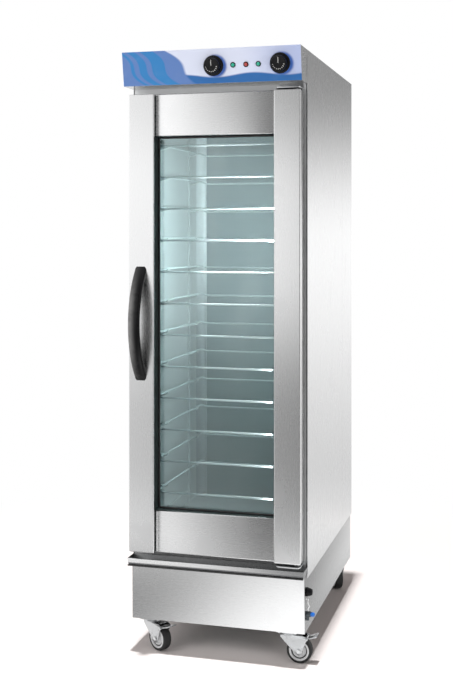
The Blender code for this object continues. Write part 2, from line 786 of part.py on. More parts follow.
def add_body(root):
    """Outer skins, liner and insulation."""
    piece("left_side_panel", side_panel(-1), STAINLESS, root)
    piece("right_side_panel", side_panel(1), STAINLESS, root)
    piece("rear_cover", rear_cover(), STAINLESS, root)
    piece("roof_panel", roof_panel(), STAINLESS, root)
    piece("chamber_liner", chamber_liner(), LINER_STEEL, root)
    piece("insulation_jacket", insulation_jacket(), MINERAL_WOOL, root)


# Air circulation

def duct_panel():
    """The folded channel that hides the fan and lets warm air out along both sides."""
    half = DUCT_HALF
    front = DUCT_FACE
    back = LINER_BACK - GAP
    low = CHAMBER_FLOOR + GAP
    high = CHAMBER_CEILING - DUCT_INTAKE_HEIGHT
    outline = [
        (-half, back),
        (-half, front),
        (half, front),
        (half, back),
        (half - LINER_SHEET, back),
        (half - LINER_SHEET, front + LINER_SHEET),
        (-half + LINER_SHEET, front + LINER_SHEET),
        (-half + LINER_SHEET, back),
    ]
    channel = prism_mesh(outline, "XY", low, high)
    near = front + DUCT_SLOT_SETBACK
    pitch = (high - low - 2 * DUCT_SLOT_MARGIN) / DUCT_SLOT_COUNT
    slots = []
    for row in range(DUCT_SLOT_COUNT):
        bottom = low + DUCT_SLOT_MARGIN + pitch * row
        slots.append(
            box_mesh(
                (-half - OVERRUN, near, bottom),
                (half + OVERRUN, near + DUCT_SLOT_WIDTH, bottom + pitch * DUCT_SLOT_OPEN_SHARE),
            )
        )
    return combined(channel, cut=slots)


def fan_motor(face):
    """A round motor on a flange, with a nose that its shaft leaves through."""
    bore = FAN_SHAFT_RADIUS + RUNNING_GAP
    tip = MOTOR_LENGTH + MOTOR_NOSE_LENGTH
    profile = [
        (0, 0),
        (MOTOR_FLANGE_RADIUS, 0),
        (MOTOR_FLANGE_RADIUS, MOTOR_FLANGE_THICKNESS),
        (MOTOR_RADIUS, MOTOR_FLANGE_THICKNESS),
        (MOTOR_RADIUS, MOTOR_LENGTH - MOTOR_FLANGE_THICKNESS),
        (MOTOR_RADIUS - MOTOR_FLANGE_THICKNESS, MOTOR_LENGTH),
        (MOTOR_NOSE_RADIUS, MOTOR_LENGTH),
        (MOTOR_NOSE_RADIUS, tip),
        (bore, tip),
        (bore, tip - FAN_SHAFT_LENGTH),
        (0, tip - FAN_SHAFT_LENGTH),
    ]
    return along_y(turned_mesh(profile), face)


def fan_blade(angle):
    """One blade, curved back from the hub to the rim, standing on the fan's plate."""
    steps = 3
    chord = FAN_RADIUS - FAN_BLADE_ROOT_RADIUS
    outer = []
    inner = []
    for step in range(steps + 1):
        share = step / steps
        radius = FAN_BLADE_ROOT_RADIUS + chord * share
        lean = chord * share * share / FAN_RADIUS
        half = FAN_BLADE_THICKNESS / 2 / radius
        for side, points in ((1, outer), (-1, inner)):
            turn = angle - lean + side * half
            points.append((radius * math.cos(turn), radius * math.sin(turn)))
    return prism_mesh(outer + inner[::-1], "XY", FAN_PLATE_THICKNESS / 2, FAN_BLADE_WIDTH)


def fan_wheel(face):
    """The fan: a plate with backward-curved blades, on a hub and shaft."""
    rim = FAN_RADIUS + FAN_BLADE_THICKNESS
    shaft_end = RUNNING_GAP - FAN_SHAFT_LENGTH - FAN_MOTOR_CLEARANCE
    body = turned_mesh(
        [
            (0, shaft_end),
            (FAN_SHAFT_RADIUS, shaft_end),
            (FAN_SHAFT_RADIUS, 0),
            (rim, 0),
            (rim, FAN_PLATE_THICKNESS),
            (FAN_HUB_RADIUS, FAN_PLATE_THICKNESS),
            (FAN_HUB_RADIUS, FAN_HUB_LENGTH),
            (0, FAN_HUB_LENGTH),
        ]
    )
    blades = [fan_blade(2 * math.pi * k / FAN_BLADE_COUNT) for k in range(FAN_BLADE_COUNT)]
    return along_y(combined(body, add=blades), face)


def air_heater():
    """A ring-shaped heating rod round the fan, its two ends run back to the liner."""
    y = LINER_BACK - HEATER_STANDOFF
    radius = FAN_RADIUS + HEATER_FAN_CLEARANCE
    opening = math.radians(HEATER_RING_OPENING) / 2
    steps = 18
    ring = []
    for step in range(steps + 1):
        turn = -math.pi / 2 + opening + (2 * math.pi - 2 * opening) * step / steps
        ring.append(
            (
                radius * math.cos(turn),
                y,
                FAN_CENTRE_HEIGHT + radius * math.sin(turn),
            )
        )
    tail_x = radius * math.sin(opening) - HEATER_BEND_RADIUS
    tail_z = ring[0][2] - HEATER_BEND_RADIUS / 4
    back = LINER_BACK - GAP
    first = filleted(
        [(tail_x, back, tail_z), (tail_x, y, tail_z), ring[0]], HEATER_BEND_RADIUS / 2, 2
    )
    last = [Vector((-point.x, point.y, point.z)) for point in reversed(first)]
    return tube_mesh(first[:-1] + ring + last[1:], HEATER_ROD_RADIUS)


def add_air_system(root):
    """Duct, motor, fan and heater behind the chamber."""
    piece("duct_panel", duct_panel(), LINER_STEEL, root)
    motor_face = (0, LINER_BACK - GAP, FAN_CENTRE_HEIGHT)
    piece("fan_motor", fan_motor(motor_face), DARK_STEEL, root, smooth=True)
    plate_y = motor_face[1] - MOTOR_LENGTH - MOTOR_NOSE_LENGTH - FAN_MOTOR_CLEARANCE
    axis = (0, plate_y, FAN_CENTRE_HEIGHT)
    piece("fan_wheel", fan_wheel(axis), ALUMINIUM, root, origin=axis)
    piece("air_heater", air_heater(), DARK_STEEL, root, smooth=True)


# Shelves and racks

def shelf_heights():
    """Height of each shelf's cross bars, lowest first."""
    return [LOWEST_SHELF_HEIGHT + SHELF_PITCH * level for level in range(SHELF_COUNT)]


def shelf_frame():
    """One rod bent into a frame: side rods on the racks, cross bars dropped between them."""
    half = SHELF_HALF
    front = SHELF_FRONT_SETBACK
    back = SHELF_BACK
    corners = (
        ((half - SHELF_CORNER_RADIUS, front + SHELF_CORNER_RADIUS), -90, 0, True),
        ((half - SHELF_CORNER_RADIUS, back - SHELF_CORNER_RADIUS), 0, 90, False),
        ((SHELF_CORNER_RADIUS - half, back - SHELF_CORNER_RADIUS), 90, 180, True),
        ((SHELF_CORNER_RADIUS - half, front + SHELF_CORNER_RADIUS), 180, 270, False),
    )
    points = []
    for middle, start, end, rising in corners:
        bend = arc(middle, SHELF_CORNER_RADIUS, start, end, CORNER_STEPS)
        for step, (x, y) in enumerate(bend):
            share = step / CORNER_STEPS if rising else 1 - step / CORNER_STEPS
            points.append((x, y, SHELF_DROP * share))
    return tube_mesh(points, ROD_RADIUS, closed=True)


def rack(side):
    """Two notched posts tied together, whose lugs hold the shelves' side rods."""
    wall = CHAMBER_HALF - GAP
    post = wall - RACK_POST_DEPTH
    rod_inside = SHELF_HALF - ROD_RADIUS
    lip_outer = rod_inside - LUG_ROD_PLAY
    tip = lip_outer - LUG_LIP_THICKNESS
    low = CHAMBER_FLOOR + GAP
    high = TOP_SHELF_HEIGHT + RACK_TOP_REACH
    outline = [(wall, high), (wall, low), (post, low)]
    for height in shelf_heights():
        seat = height + SHELF_DROP - ROD_RADIUS - GAP
        outline += [
            (post, seat - LUG_ROOT_THICKNESS),
            (tip, seat - LUG_TIP_THICKNESS),
            (tip, seat + LUG_LIP_HEIGHT),
            (lip_outer, seat + LUG_LIP_HEIGHT),
            (lip_outer, seat),
            (post, seat),
        ]
    outline.append((post, high))
    outline = [(side * x, z) for x, z in outline]
    front = SHELF_FRONT_SETBACK + RACK_FRONT_MARGIN
    rear = SHELF_BACK - RACK_REAR_MARGIN - RACK_POST_WIDTH
    posts = [prism_mesh(outline, "XZ", y, y + RACK_POST_WIDTH) for y in (front, rear)]
    tie_edges = sorted((side * wall, side * (wall - RACK_TIE_THICKNESS)))
    ties = [
        box_mesh(
            (tie_edges[0], front + RACK_POST_WIDTH / 2, z),
            (tie_edges[1], rear + RACK_POST_WIDTH / 2, z + RACK_TIE_HEIGHT),
        )
        for z in (low + RACK_TIE_HEIGHT, high - 2 * RACK_TIE_HEIGHT)
    ]
    return combined(posts[0], add=ties + posts[1:])


def add_shelves(root):
    """Both racks and the twelve shelves."""
    piece("rack_left", rack(-1), LINER_STEEL, root)
    piece("rack_right", rack(1), LINER_STEEL, root)
    frame = shelf_frame()
    for level, height in enumerate(shelf_heights(), start=1):
        shelf = piece(f"shelf_frame_{level:02d}", frame, CHROME_ROD, root, smooth=True)
        shelf.location = (0, 0, height)


# Base and its fittings

def base_housing():
    """The folded base box with its caster plates, bored for the casters' kingpins."""
    reach = BASE_FLANGE
    rings = [
        rect_level(
            reach - BASE_HALF, BASE_HALF - reach,
            reach - BASE_FRONT_REACH, BASE_BACK - reach, BASE_BOTTOM,
        ),
        rect_level(-BASE_HALF, BASE_HALF, -BASE_FRONT_REACH, BASE_BACK, BASE_BOTTOM),
        rect_level(-BASE_HALF, BASE_HALF, -BASE_FRONT_REACH, BASE_BACK, BASE_TOP),
        rect_level(
            -TANK_HALF - TANK_PLAY, TANK_HALF + TANK_PLAY,
            TANK_FRONT - TANK_PLAY, TANK_BACK + TANK_PLAY, BASE_TOP,
        ),
    ]
    shell = sheet_mesh(rings, BASE_SHEET)
    half = CASTER_PLATE_WIDTH / 2
    joined = BASE_BOTTOM + BASE_SHEET / 2
    bore = turned_mesh(
        solid_profile(
            [
                (KINGPIN_RADIUS + RUNNING_GAP, CASTER_PLATE_UNDERSIDE - OVERRUN),
                (KINGPIN_RADIUS + RUNNING_GAP, joined + OVERRUN),
            ]
        ),
        SMALL_SIDES, True,
    )
    plates = []
    bores = []
    for x, y in CASTER_PLACES.values():
        plates.append(
            box_mesh((x - half, y - half, CASTER_PLATE_UNDERSIDE), (x + half, y + half, joined))
        )
        bores.append(moved(bore, Matrix.Translation((x, y, 0))))
    holes = [
        side_hole(GLAND_THREAD_RADIUS, GLAND_HEIGHT),
        side_hole(VALVE_THREAD_RADIUS, VALVE_HEIGHT),
        side_hole(OVERFLOW_RADIUS, OVERFLOW_HEIGHT),
    ]
    return combined(shell, add=plates, cut=holes + bores)


def side_hole(radius, height):
    """A cutter for a round hole through the base's right wall."""
    clear = radius + GAP
    length = BASE_SHEET + 2 * OVERRUN
    cutter = turned_mesh(solid_profile([(clear, 0), (clear, length)]), SMALL_SIDES, True)
    return along_x(cutter, (BASE_HALF - BASE_SHEET - OVERRUN, FITTING_Y, height))


def water_tank():
    """A deep pan dropped through the chamber floor, its rim resting on the floor."""
    rim_z = CHAMBER_FLOOR + GAP + TANK_SHEET
    rings = [
        rect_level(
            -TANK_HALF - TANK_RIM, TANK_HALF + TANK_RIM,
            TANK_FRONT - TANK_RIM, TANK_BACK + TANK_RIM, rim_z,
        ),
        rect_level(-TANK_HALF, TANK_HALF, TANK_FRONT, TANK_BACK, rim_z),
        rect_level(-TANK_HALF, TANK_HALF, TANK_FRONT, TANK_BACK, TANK_BOTTOM),
    ]
    return sheet_mesh(rings, TANK_SHEET, cap=True)


def steam_heater():
    """A looped heating rod just above the tank's bottom, its ends at the rear wall."""
    z = TANK_BOTTOM + STEAM_ROD_HEIGHT
    half = TANK_HALF - STEAM_ROD_SIDE_MARGIN
    front = TANK_FRONT + STEAM_ROD_FRONT_MARGIN
    rear = TANK_BACK - GAP
    points = filleted(
        [(-half, rear, z), (-half, front, z), (half, front, z), (half, rear, z)],
        STEAM_BEND_RADIUS, 4,
    )
    return tube_mesh(points, STEAM_ROD_RADIUS)


def cable_gland():
    """The black gland for the supply lead: threaded through the wall, hex outside, domed cap."""
    seat = GAP
    cap = seat + GLAND_HEX_LENGTH + GLAND_CAP_LENGTH
    waist = seat + GLAND_HEX_LENGTH + GLAND_CAP_LENGTH / 3
    profile = [
        (GLAND_THREAD_RADIUS, -GLAND_THREAD_LENGTH),
        (GLAND_THREAD_RADIUS, seat + GLAND_HEX_LENGTH / 2),
        (GLAND_CAP_RADIUS, seat + GLAND_HEX_LENGTH / 2),
        (GLAND_CAP_RADIUS, waist),
        (GLAND_TIP_RADIUS, cap),
    ]
    body = turned_mesh(solid_profile(profile), SMALL_SIDES)
    nut = [(GLAND_HEX_RADIUS, seat), (GLAND_HEX_RADIUS, seat + GLAND_HEX_LENGTH)]
    hexagon = turned_mesh(solid_profile(nut), 6)
    ends = (-GLAND_THREAD_LENGTH - OVERRUN, cap + OVERRUN)
    bore = turned_mesh(solid_profile([(GLAND_BORE_RADIUS, end) for end in ends]), SMALL_SIDES)
    gland = combined(body, add=[hexagon], cut=[bore])
    return along_x(gland, (BASE_HALF, FITTING_Y, GLAND_HEIGHT))


def drain_valve_body():
    """The drain cock's body outside the wall, its spout, and the tail that reaches the tank."""
    place = (BASE_HALF, FITTING_Y, VALVE_HEIGHT)
    face = GAP + VALVE_LENGTH
    bore = VALVE_STEM_RADIUS + RUNNING_GAP
    body = along_x(
        turned_mesh(
            [
                (0, -OVERRUN),
                (VALVE_THREAD_RADIUS, -OVERRUN),
                (VALVE_THREAD_RADIUS, GAP),
                (VALVE_RADIUS, GAP),
                (VALVE_RADIUS, face),
                (bore, face),
                (bore, face - VALVE_BORE_DEPTH),
                (0, face - VALVE_BORE_DEPTH),
            ],
            SMALL_SIDES,
        ),
        place,
    )
    spout_x = BASE_HALF + GAP + VALVE_LENGTH / 3
    spout = tube_mesh(
        [
            (spout_x, FITTING_Y, VALVE_HEIGHT - VALVE_RADIUS / 2),
            (spout_x, FITTING_Y, VALVE_HEIGHT - VALVE_SPOUT_LENGTH),
        ],
        VALVE_SPOUT_RADIUS,
    )
    tail_x = BASE_HALF - VALVE_TAIL_INSET
    tail_y = FITTING_Y + VALVE_TAIL_RUN
    tail = tube_mesh(
        filleted(
            [
                (BASE_HALF - OVERRUN / 2, FITTING_Y, VALVE_HEIGHT),
                (tail_x, FITTING_Y, VALVE_HEIGHT),
                (tail_x, tail_y, VALVE_HEIGHT),
                (TANK_HALF + TANK_SHEET + GAP, tail_y, VALVE_HEIGHT),
            ],
            VALVE_TAIL_BEND_RADIUS, 3,
        ),
        VALVE_SPOUT_RADIUS,
    )
    return combined(body, add=[spout, tail])


def drain_knob(face):
    """The drain cock's knob: a fluted cap on the stem that turns in the valve body."""
    outline = [
        (VALVE_STEM_RADIUS, RUNNING_GAP - VALVE_BORE_DEPTH),
        (VALVE_STEM_RADIUS, GAP),
        (DRAIN_KNOB_RADIUS, GAP),
        (DRAIN_KNOB_RADIUS, DRAIN_KNOB_LENGTH * 2 / 3),
        (DRAIN_KNOB_RADIUS / 2, DRAIN_KNOB_LENGTH),
    ]
    body = turned_mesh(solid_profile(outline), SMALL_SIDES)
    ends = (GAP + DRAIN_KNOB_LENGTH / 4, DRAIN_KNOB_LENGTH + OVERRUN)
    flute = turned_mesh(solid_profile([(DRAIN_KNOB_FLUTE_RADIUS, end) for end in ends]), 6)
    flutes = []
    for step in range(DRAIN_KNOB_FLUTES):
        turn = 2 * math.pi * step / DRAIN_KNOB_FLUTES
        reach = DRAIN_KNOB_RADIUS + DRAIN_KNOB_FLUTE_RADIUS / 2
        shift = (reach * math.cos(turn), reach * math.sin(turn), 0)
        flutes.append(moved(flute, Matrix.Translation(shift)))
    return along_x(combined(body, cut=flutes), face)


def overflow_pipe():
    """The thin bent pipe from the overflow hole down to the top of the drain cock."""
    x = BASE_HALF + GAP + OVERFLOW_STANDOFF
    top = OVERFLOW_HEIGHT
    bottom = VALVE_HEIGHT + VALVE_RADIUS + GAP
    points = [(BASE_HALF - OVERFLOW_WALL_REACH, FITTING_Y, top), (BASE_HALF + GAP, FITTING_Y, top)]
    points += [(x - OVERFLOW_STANDOFF / 3, FITTING_Y, top - OVERFLOW_STANDOFF / 6)]
    steps = 10
    first = top - OVERFLOW_STANDOFF
    last = bottom + OVERFLOW_RADIUS
    for step in range(steps + 1):
        share = step / steps
        sway = OVERFLOW_SWAY * math.sin(2 * math.pi * share)
        points.append((x, FITTING_Y + sway, first + (last - first) * share))
    points.append((x, FITTING_Y, bottom))
    return tube_mesh(points, OVERFLOW_RADIUS)


def drip_tray():
    """The open gutter under the door that catches condensed water."""
    back = -GAP
    front = -TRAY_REACH
    floor = BASE_TOP + GAP
    ends = BODY_HALF - TRAY_END_SLOPE
    rings = [
        rect_level(-BODY_HALF, BODY_HALF, front, back, TRAY_RIM),
        rect_level(-ends, ends, front + TRAY_FRONT_SLOPE, back, floor),
    ]
    return sheet_mesh(rings, SHEET, cap=True, flip=True)


def add_base(root):
    """Base box, tank, heater, drain fittings, gland and drip tray."""
    piece("base_housing", base_housing(), STAINLESS, root)
    piece("water_tank", water_tank(), STAINLESS, root)
    piece("steam_heater", steam_heater(), DARK_STEEL, root, smooth=True)
    piece("cable_gland", cable_gland(), BLACK_PLASTIC, root)
    piece("drain_valve_body", drain_valve_body(), GREY_PLASTIC, root, smooth=True)
    knob_face = (BASE_HALF + GAP + VALVE_LENGTH, FITTING_Y, VALVE_HEIGHT)
    piece("drain_knob", drain_knob(knob_face), BLUE_PLASTIC, root, origin=knob_face)
    piece("overflow_pipe", overflow_pipe(), CHROME_ROD, root, smooth=True)
    piece("drip_tray", drip_tray(), STAINLESS, root)


# Control box

def control_point(x, up, out):
    """A point given across, up and out of the slanted control face."""
    across = Vector((1, 0, 0))
    rise = Vector((0, -math.sin(CONTROL_TILT), math.cos(CONTROL_TILT)))
    normal = across.cross(rise)
    return CONTROL_FACE_MIDDLE + across * x + rise * up + normal * out


def control_housing():
    """The sheet box of the controls, open at the back, with a lip behind its slanted face."""
    face = -FASCIA_SHEET - GAP
    up = FASCIA_HEIGHT / 2
    lip = CONTROL_LIP
    corners = ((-1, -1), (1, -1), (1, 1), (-1, 1))
    back_y = -GAP
    rings = [
        rect_facing(BODY_HALF, CONTROL_BOTTOM, BODY_TOP, back_y),
        [],
        [],
    ]
    for i, j in corners:
        edge = up * j
        point = control_point(i * BODY_HALF, edge, face)
        level = BODY_TOP if j > 0 else CONTROL_BOTTOM
        slope = (level - point.z) * math.tan(CONTROL_TILT)
        rings[1].append(Vector((point.x, point.y - slope, level)))
        rings[2].append(control_point(i * (BODY_HALF - lip), j * (up - lip), face))
    shell = sheet_mesh(rings, SHEET)
    reach = BODY_HALF + OVERRUN
    slot = box_mesh(
        (-reach, -VENT_SLOT_SETBACK - VENT_SLOT_WIDTH, CONTROL_BOTTOM + VENT_SLOT_MARGIN),
        (reach, -VENT_SLOT_SETBACK, BODY_TOP - VENT_SLOT_MARGIN),
    )
    return combined(shell, cut=[slot])


def control_fascia():
    """The slanted front plate, drawn in the control face's own frame."""
    up = FASCIA_HEIGHT / 2
    plate = box_mesh((-BODY_HALF, -up, -FASCIA_SHEET), (BODY_HALF, up, 0))
    holes = []
    for x, radius in (
        (LEFT_KNOB_X, KNOB_SPINDLE_RADIUS),
        (RIGHT_KNOB_X, KNOB_SPINDLE_RADIUS),
        (LEFT_LAMP_X, LAMP_BARREL_RADIUS),
        (MIDDLE_LAMP_X, LAMP_BARREL_RADIUS),
        (RIGHT_LAMP_X, LAMP_BARREL_RADIUS),
    ):
        clear = radius + GAP
        cutter = turned_mesh(
            solid_profile([(clear, -FASCIA_SHEET - OVERRUN), (clear, OVERRUN)]), SMALL_SIDES, True
        )
        holes.append(moved(cutter, Matrix.Translation((x, CONTROL_ROW_OFFSET, 0))))
    return combined(plate, cut=holes)


def control_knob():
    """A dial knob on its spindle: wide skirt, tapered grip and a raised pointer on its face."""
    edge = KNOB_EDGE_RADIUS
    profile = [
        (KNOB_SPINDLE_RADIUS, -KNOB_SPINDLE_LENGTH),
        (KNOB_SPINDLE_RADIUS, GAP),
        (KNOB_SKIRT_RADIUS, GAP),
        (KNOB_SKIRT_RADIUS, KNOB_SKIRT_THICKNESS / 2),
        (KNOB_SKIRT_RADIUS - edge, KNOB_SKIRT_THICKNESS),
        (KNOB_GRIP_RADIUS, KNOB_SKIRT_THICKNESS),
        (KNOB_GRIP_RADIUS - KNOB_GRIP_TAPER, KNOB_LENGTH - edge),
        (KNOB_GRIP_RADIUS - KNOB_GRIP_TAPER - edge, KNOB_LENGTH),
    ]
    body = turned_mesh(solid_profile(profile), ROUND_SIDES)
    half = KNOB_POINTER_WIDTH / 2
    pointer = box_mesh(
        (-half, 0, KNOB_LENGTH - KNOB_POINTER_HEIGHT),
        (half, KNOB_GRIP_RADIUS - 3 * edge, KNOB_LENGTH + KNOB_POINTER_HEIGHT),
    )
    return combined(body, add=[pointer])


def indicator_lamp():
    """A signal lamp: bezel, domed lens, and the barrel behind the plate."""
    dome = arc((0, LAMP_BEZEL_THICKNESS), LAMP_LENS_RADIUS, 0, 60, 2)
    lens = [(x, z) for x, z in dome]
    profile = [
        (LAMP_BARREL_RADIUS, -LAMP_BARREL_LENGTH),
        (LAMP_BARREL_RADIUS, GAP),
        (LAMP_BEZEL_RADIUS, GAP),
        (LAMP_BEZEL_RADIUS, LAMP_BEZEL_THICKNESS / 2),
        (LAMP_BEZEL_RADIUS - LAMP_BEZEL_THICKNESS / 2, LAMP_BEZEL_THICKNESS),
    ] + lens
    tip = (0, LAMP_BEZEL_THICKNESS + LAMP_LENS_LENGTH)
    return turned_mesh([(0, -LAMP_BARREL_LENGTH)] + profile + [tip], LAMP_SIDES)


def add_controls(root):
    """Control box, fascia, lamps and knobs."""
    piece("control_housing", control_housing(), STAINLESS, root)
    face = frame_empty(
        "control_face", root, CONTROL_FACE_MIDDLE, (math.pi / 2 + CONTROL_TILT, 0, 0)
    )
    piece("control_fascia", control_fascia(), FASCIA_FILM, face)
    lamp = indicator_lamp()
    for name, x, look in (
        ("lamp_left", LEFT_LAMP_X, GREEN_LENS),
        ("lamp_middle", MIDDLE_LAMP_X, RED_LENS),
        ("lamp_right", RIGHT_LAMP_X, GREEN_LENS),
    ):
        piece(name, lamp, look, face, smooth=True).location = (x, CONTROL_ROW_OFFSET, 0)
    knob = control_knob()
    for name, x in (("knob_left", LEFT_KNOB_X), ("knob_right", RIGHT_KNOB_X)):
        piece(name, knob, BLACK_PLASTIC, face).location = (x, CONTROL_ROW_OFFSET, 0)


# Door and hinges

def pressed_edge(front, depth, offset):
    """Half the cross-section of a pressed skin, as (inset, y) points from its rim to its face."""
    radius = STILE_EDGE_RADIUS
    bend = arc((radius, front + radius), radius - offset, 180, 270, CORNER_STEPS)
    return [(offset, front + depth)] + bend


def inset_loft(edges, profile):
    """Loft a rectangle in X and Z along (inset, y) points; edges are low and high X of it."""
    (x_low, x_high), (z_low, z_high) = edges, (DOOR_BOTTOM, DOOR_TOP)
    rings = [
        [
            (x_low + inset, y, z_low + inset),
            (x_high - inset, y, z_low + inset),
            (x_high - inset, y, z_high - inset),
            (x_low + inset, y, z_high - inset),
        ]
        for inset, y in profile
    ]
    return lofted_mesh(rings)


def stile_edges(side):
    """Low and high X of one upright side of the door."""
    return sorted((side * WINDOW_HALF, side * DOOR_HALF))


def stile(side):
    """The polished skin of one upright side of the door, a shallow pressed pan."""
    inside = pressed_edge(DOOR_FRONT, SKIN_RETURN, SHEET)
    outside = pressed_edge(DOOR_FRONT, SKIN_RETURN, 0)
    return inset_loft(stile_edges(side), inside[::-1] + outside)


def rail(low, high):
    """The skin of one cross rail, set back between the stiles and open at its ends."""
    front = DOOR_FRONT + RAIL_SETBACK
    outline = []
    for offset, order in ((0, 1), (SHEET, -1)):
        outline += rail_section(low, high, pressed_edge(front, SKIN_RETURN, offset))[::order]
    half = WINDOW_HALF - GAP
    return prism_mesh(outline, "YZ", -half, half)


def rail_section(low, high, edge):
    """The cross-section of a rail's front from a pressed edge at its bottom and its top."""
    return [(y, low + inset) for inset, y in edge] + [(y, high - inset) for inset, y in edge[::-1]]


def door_core():
    """The black plastic frame that the skins clip on and the glass sits in."""
    half = DOOR_HALF - SKIN_STEP
    low = DOOR_BOTTOM + SKIN_STEP
    high = DOOR_TOP - SKIN_STEP
    window = WINDOW_HALF + SKIN_STEP
    rail_front = DOOR_FRONT + RAIL_SETBACK
    slab_front = rail_front + STILE_EDGE_RADIUS
    slab = box_mesh((-half, slab_front, low), (half, CORE_BACK, high))
    middle = (slab_front + CORE_BACK) / 2
    stiles = [
        inset_loft(stile_edges(side), pressed_edge(DOOR_FRONT, middle - DOOR_FRONT, SKIN_STEP))
        for side in (-1, 1)
    ]
    edge = pressed_edge(rail_front, middle - rail_front, SKIN_STEP)
    reach = window + OVERRUN
    rails = [
        prism_mesh(rail_section(bottom, top, edge), "YZ", -reach, reach)
        for bottom, top in ((DOOR_BOTTOM, WINDOW_BOTTOM), (WINDOW_TOP, DOOR_TOP))
    ]
    pane = GLASS_LAP + GAP
    opening = box_mesh(
        (-window, slab_front - OVERRUN, WINDOW_BOTTOM - SKIN_STEP),
        (window, CORE_BACK + OVERRUN, WINDOW_TOP + SKIN_STEP),
    )
    rebate = box_mesh(
        (-window - pane, CORE_BACK - GLASS_THICKNESS - GAP, WINDOW_BOTTOM - SKIN_STEP - pane),
        (window + pane, CORE_BACK + OVERRUN, WINDOW_TOP + SKIN_STEP + pane),
    )
    clear = HINGE_PIN_RADIUS + RUNNING_GAP
    depth = HINGE_PIN_GRIP + GAP
    pin_holes = [
        pivot_cylinder(clear, (low - OVERRUN, low + depth), circumscribed=True),
        pivot_cylinder(clear, (high - depth, high + OVERRUN), circumscribed=True),
    ]
    pierced = combined(slab, cut=[opening, rebate])
    return combined(pierced, add=stiles + rails, cut=pin_holes)


def ring_plate(outer_half, outer_low, outer_high, width, front, back):
    """A flat rectangular ring of one width."""
    plate = box_mesh((-outer_half, front, outer_low), (outer_half, back, outer_high))
    hole = box_mesh(
        (width - outer_half, front - OVERRUN, outer_low + width),
        (outer_half - width, back + OVERRUN, outer_high - width),
    )
    return combined(plate, cut=[hole])


def door_inner_skin():
    """The steel ring behind the core, which holds the glass in and carries the seal."""
    half = DOOR_HALF - SKIN_STEP - INNER_SKIN_MARGIN
    low = DOOR_BOTTOM + SKIN_STEP + INNER_SKIN_MARGIN
    high = DOOR_TOP - SKIN_STEP - INNER_SKIN_MARGIN
    back = INNER_SKIN_FRONT + INNER_SKIN_SHEET
    plate = box_mesh((-half, INNER_SKIN_FRONT, low), (half, back, high))
    hole = box_mesh(
        (-WINDOW_HALF - SKIN_STEP, INNER_SKIN_FRONT - OVERRUN, WINDOW_BOTTOM - SKIN_STEP),
        (WINDOW_HALF + SKIN_STEP, back + OVERRUN, WINDOW_TOP + SKIN_STEP),
    )
    return combined(plate, cut=[hole])


def door_seal():
    """The soft seal that closes on the face flange all round the chamber."""
    half = PIVOT_X - SEAL_HINGE_MARGIN
    reach = half - CHAMBER_HALF
    return ring_plate(
        half, CHAMBER_FLOOR - reach, CHAMBER_CEILING + reach, SEAL_WIDTH, SEAL_FRONT, -GAP
    )


def door_glass():
    """The pane, laid in the core's rebate."""
    half = WINDOW_HALF + SKIN_STEP + GLASS_LAP
    return box_mesh(
        (-half, CORE_BACK - GLASS_THICKNESS, WINDOW_BOTTOM - SKIN_STEP - GLASS_LAP),
        (half, CORE_BACK, WINDOW_TOP + SKIN_STEP + GLASS_LAP),
    )


def door_handle():
    """The black bow handle: an outer and an inner arc between two flat pads."""
    x = HANDLE_INSET - DOOR_HALF
    height = (DOOR_BOTTOM + DOOR_TOP) / 2
    face = DOOR_FRONT - GAP
    chord = HANDLE_LENGTH / 2
    radius = (chord * chord + HANDLE_BOW * HANDLE_BOW) / (2 * HANDLE_BOW)
    half_angle = math.degrees(math.asin(chord / radius))
    inner_chord = chord - HANDLE_PAD_LENGTH
    inner_bow = HANDLE_BOW - HANDLE_THICKNESS
    inner_radius = (inner_chord ** 2 + inner_bow ** 2) / (2 * inner_bow)
    inner_angle = math.degrees(math.asin(inner_chord / inner_radius))
    middle = (face - HANDLE_BOW + radius, height)
    inner_middle = (face - inner_bow + inner_radius, height)
    outer = arc(middle, radius, 180 + half_angle, 180 - half_angle, 12)
    inner = arc(inner_middle, inner_radius, 180 - inner_angle, 180 + inner_angle, 10)
    half = HANDLE_WIDTH / 2
    bow = prism_mesh(outer + inner, "YZ", x - half, x + half)
    return rounded(bow, HANDLE_EDGE_RADIUS, 2)


def hinge_bracket(plate_span, flange_span, pin_span, collar_span=None):
    """A hinge bracket: plate over or under the door, flange on the body's face, and the pin."""
    radius = HINGE_CORNER_RADIUS
    left = PIVOT_X - HINGE_PLATE_INNER
    right = PIVOT_X + HINGE_PLATE_OUTER
    front = -HINGE_PLATE_REACH
    back = -GAP - HINGE_FLANGE_THICKNESS / 2
    outline = (
        [(left, back)]
        + arc((left + radius, front + radius), radius, 180, 270, CORNER_STEPS)
        + arc((right - radius, front + radius), radius, 270, 360, CORNER_STEPS)
        + [(right, back)]
    )
    plate = prism_mesh(outline, "XY", *plate_span)
    flange = box_mesh(
        (left + HINGE_FLANGE_INSET, -GAP - HINGE_FLANGE_THICKNESS, flange_span[0]),
        (right - HINGE_FLANGE_INSET, -GAP, flange_span[1]),
    )
    additions = [flange, pivot_cylinder(HINGE_PIN_RADIUS, pin_span)]
    if collar_span:
        additions.append(pivot_cylinder(HINGE_COLLAR_RADIUS, collar_span))
    return combined(plate, add=additions)


def pivot_cylinder(radius, span, circumscribed=False):
    """An upright cylinder on the door's hinge axis."""
    profile = solid_profile([(radius, height) for height in span])
    cylinder = turned_mesh(profile, SMALL_SIDES, circumscribed)
    return moved(cylinder, Matrix.Translation((PIVOT_X, PIVOT_Y, 0)))


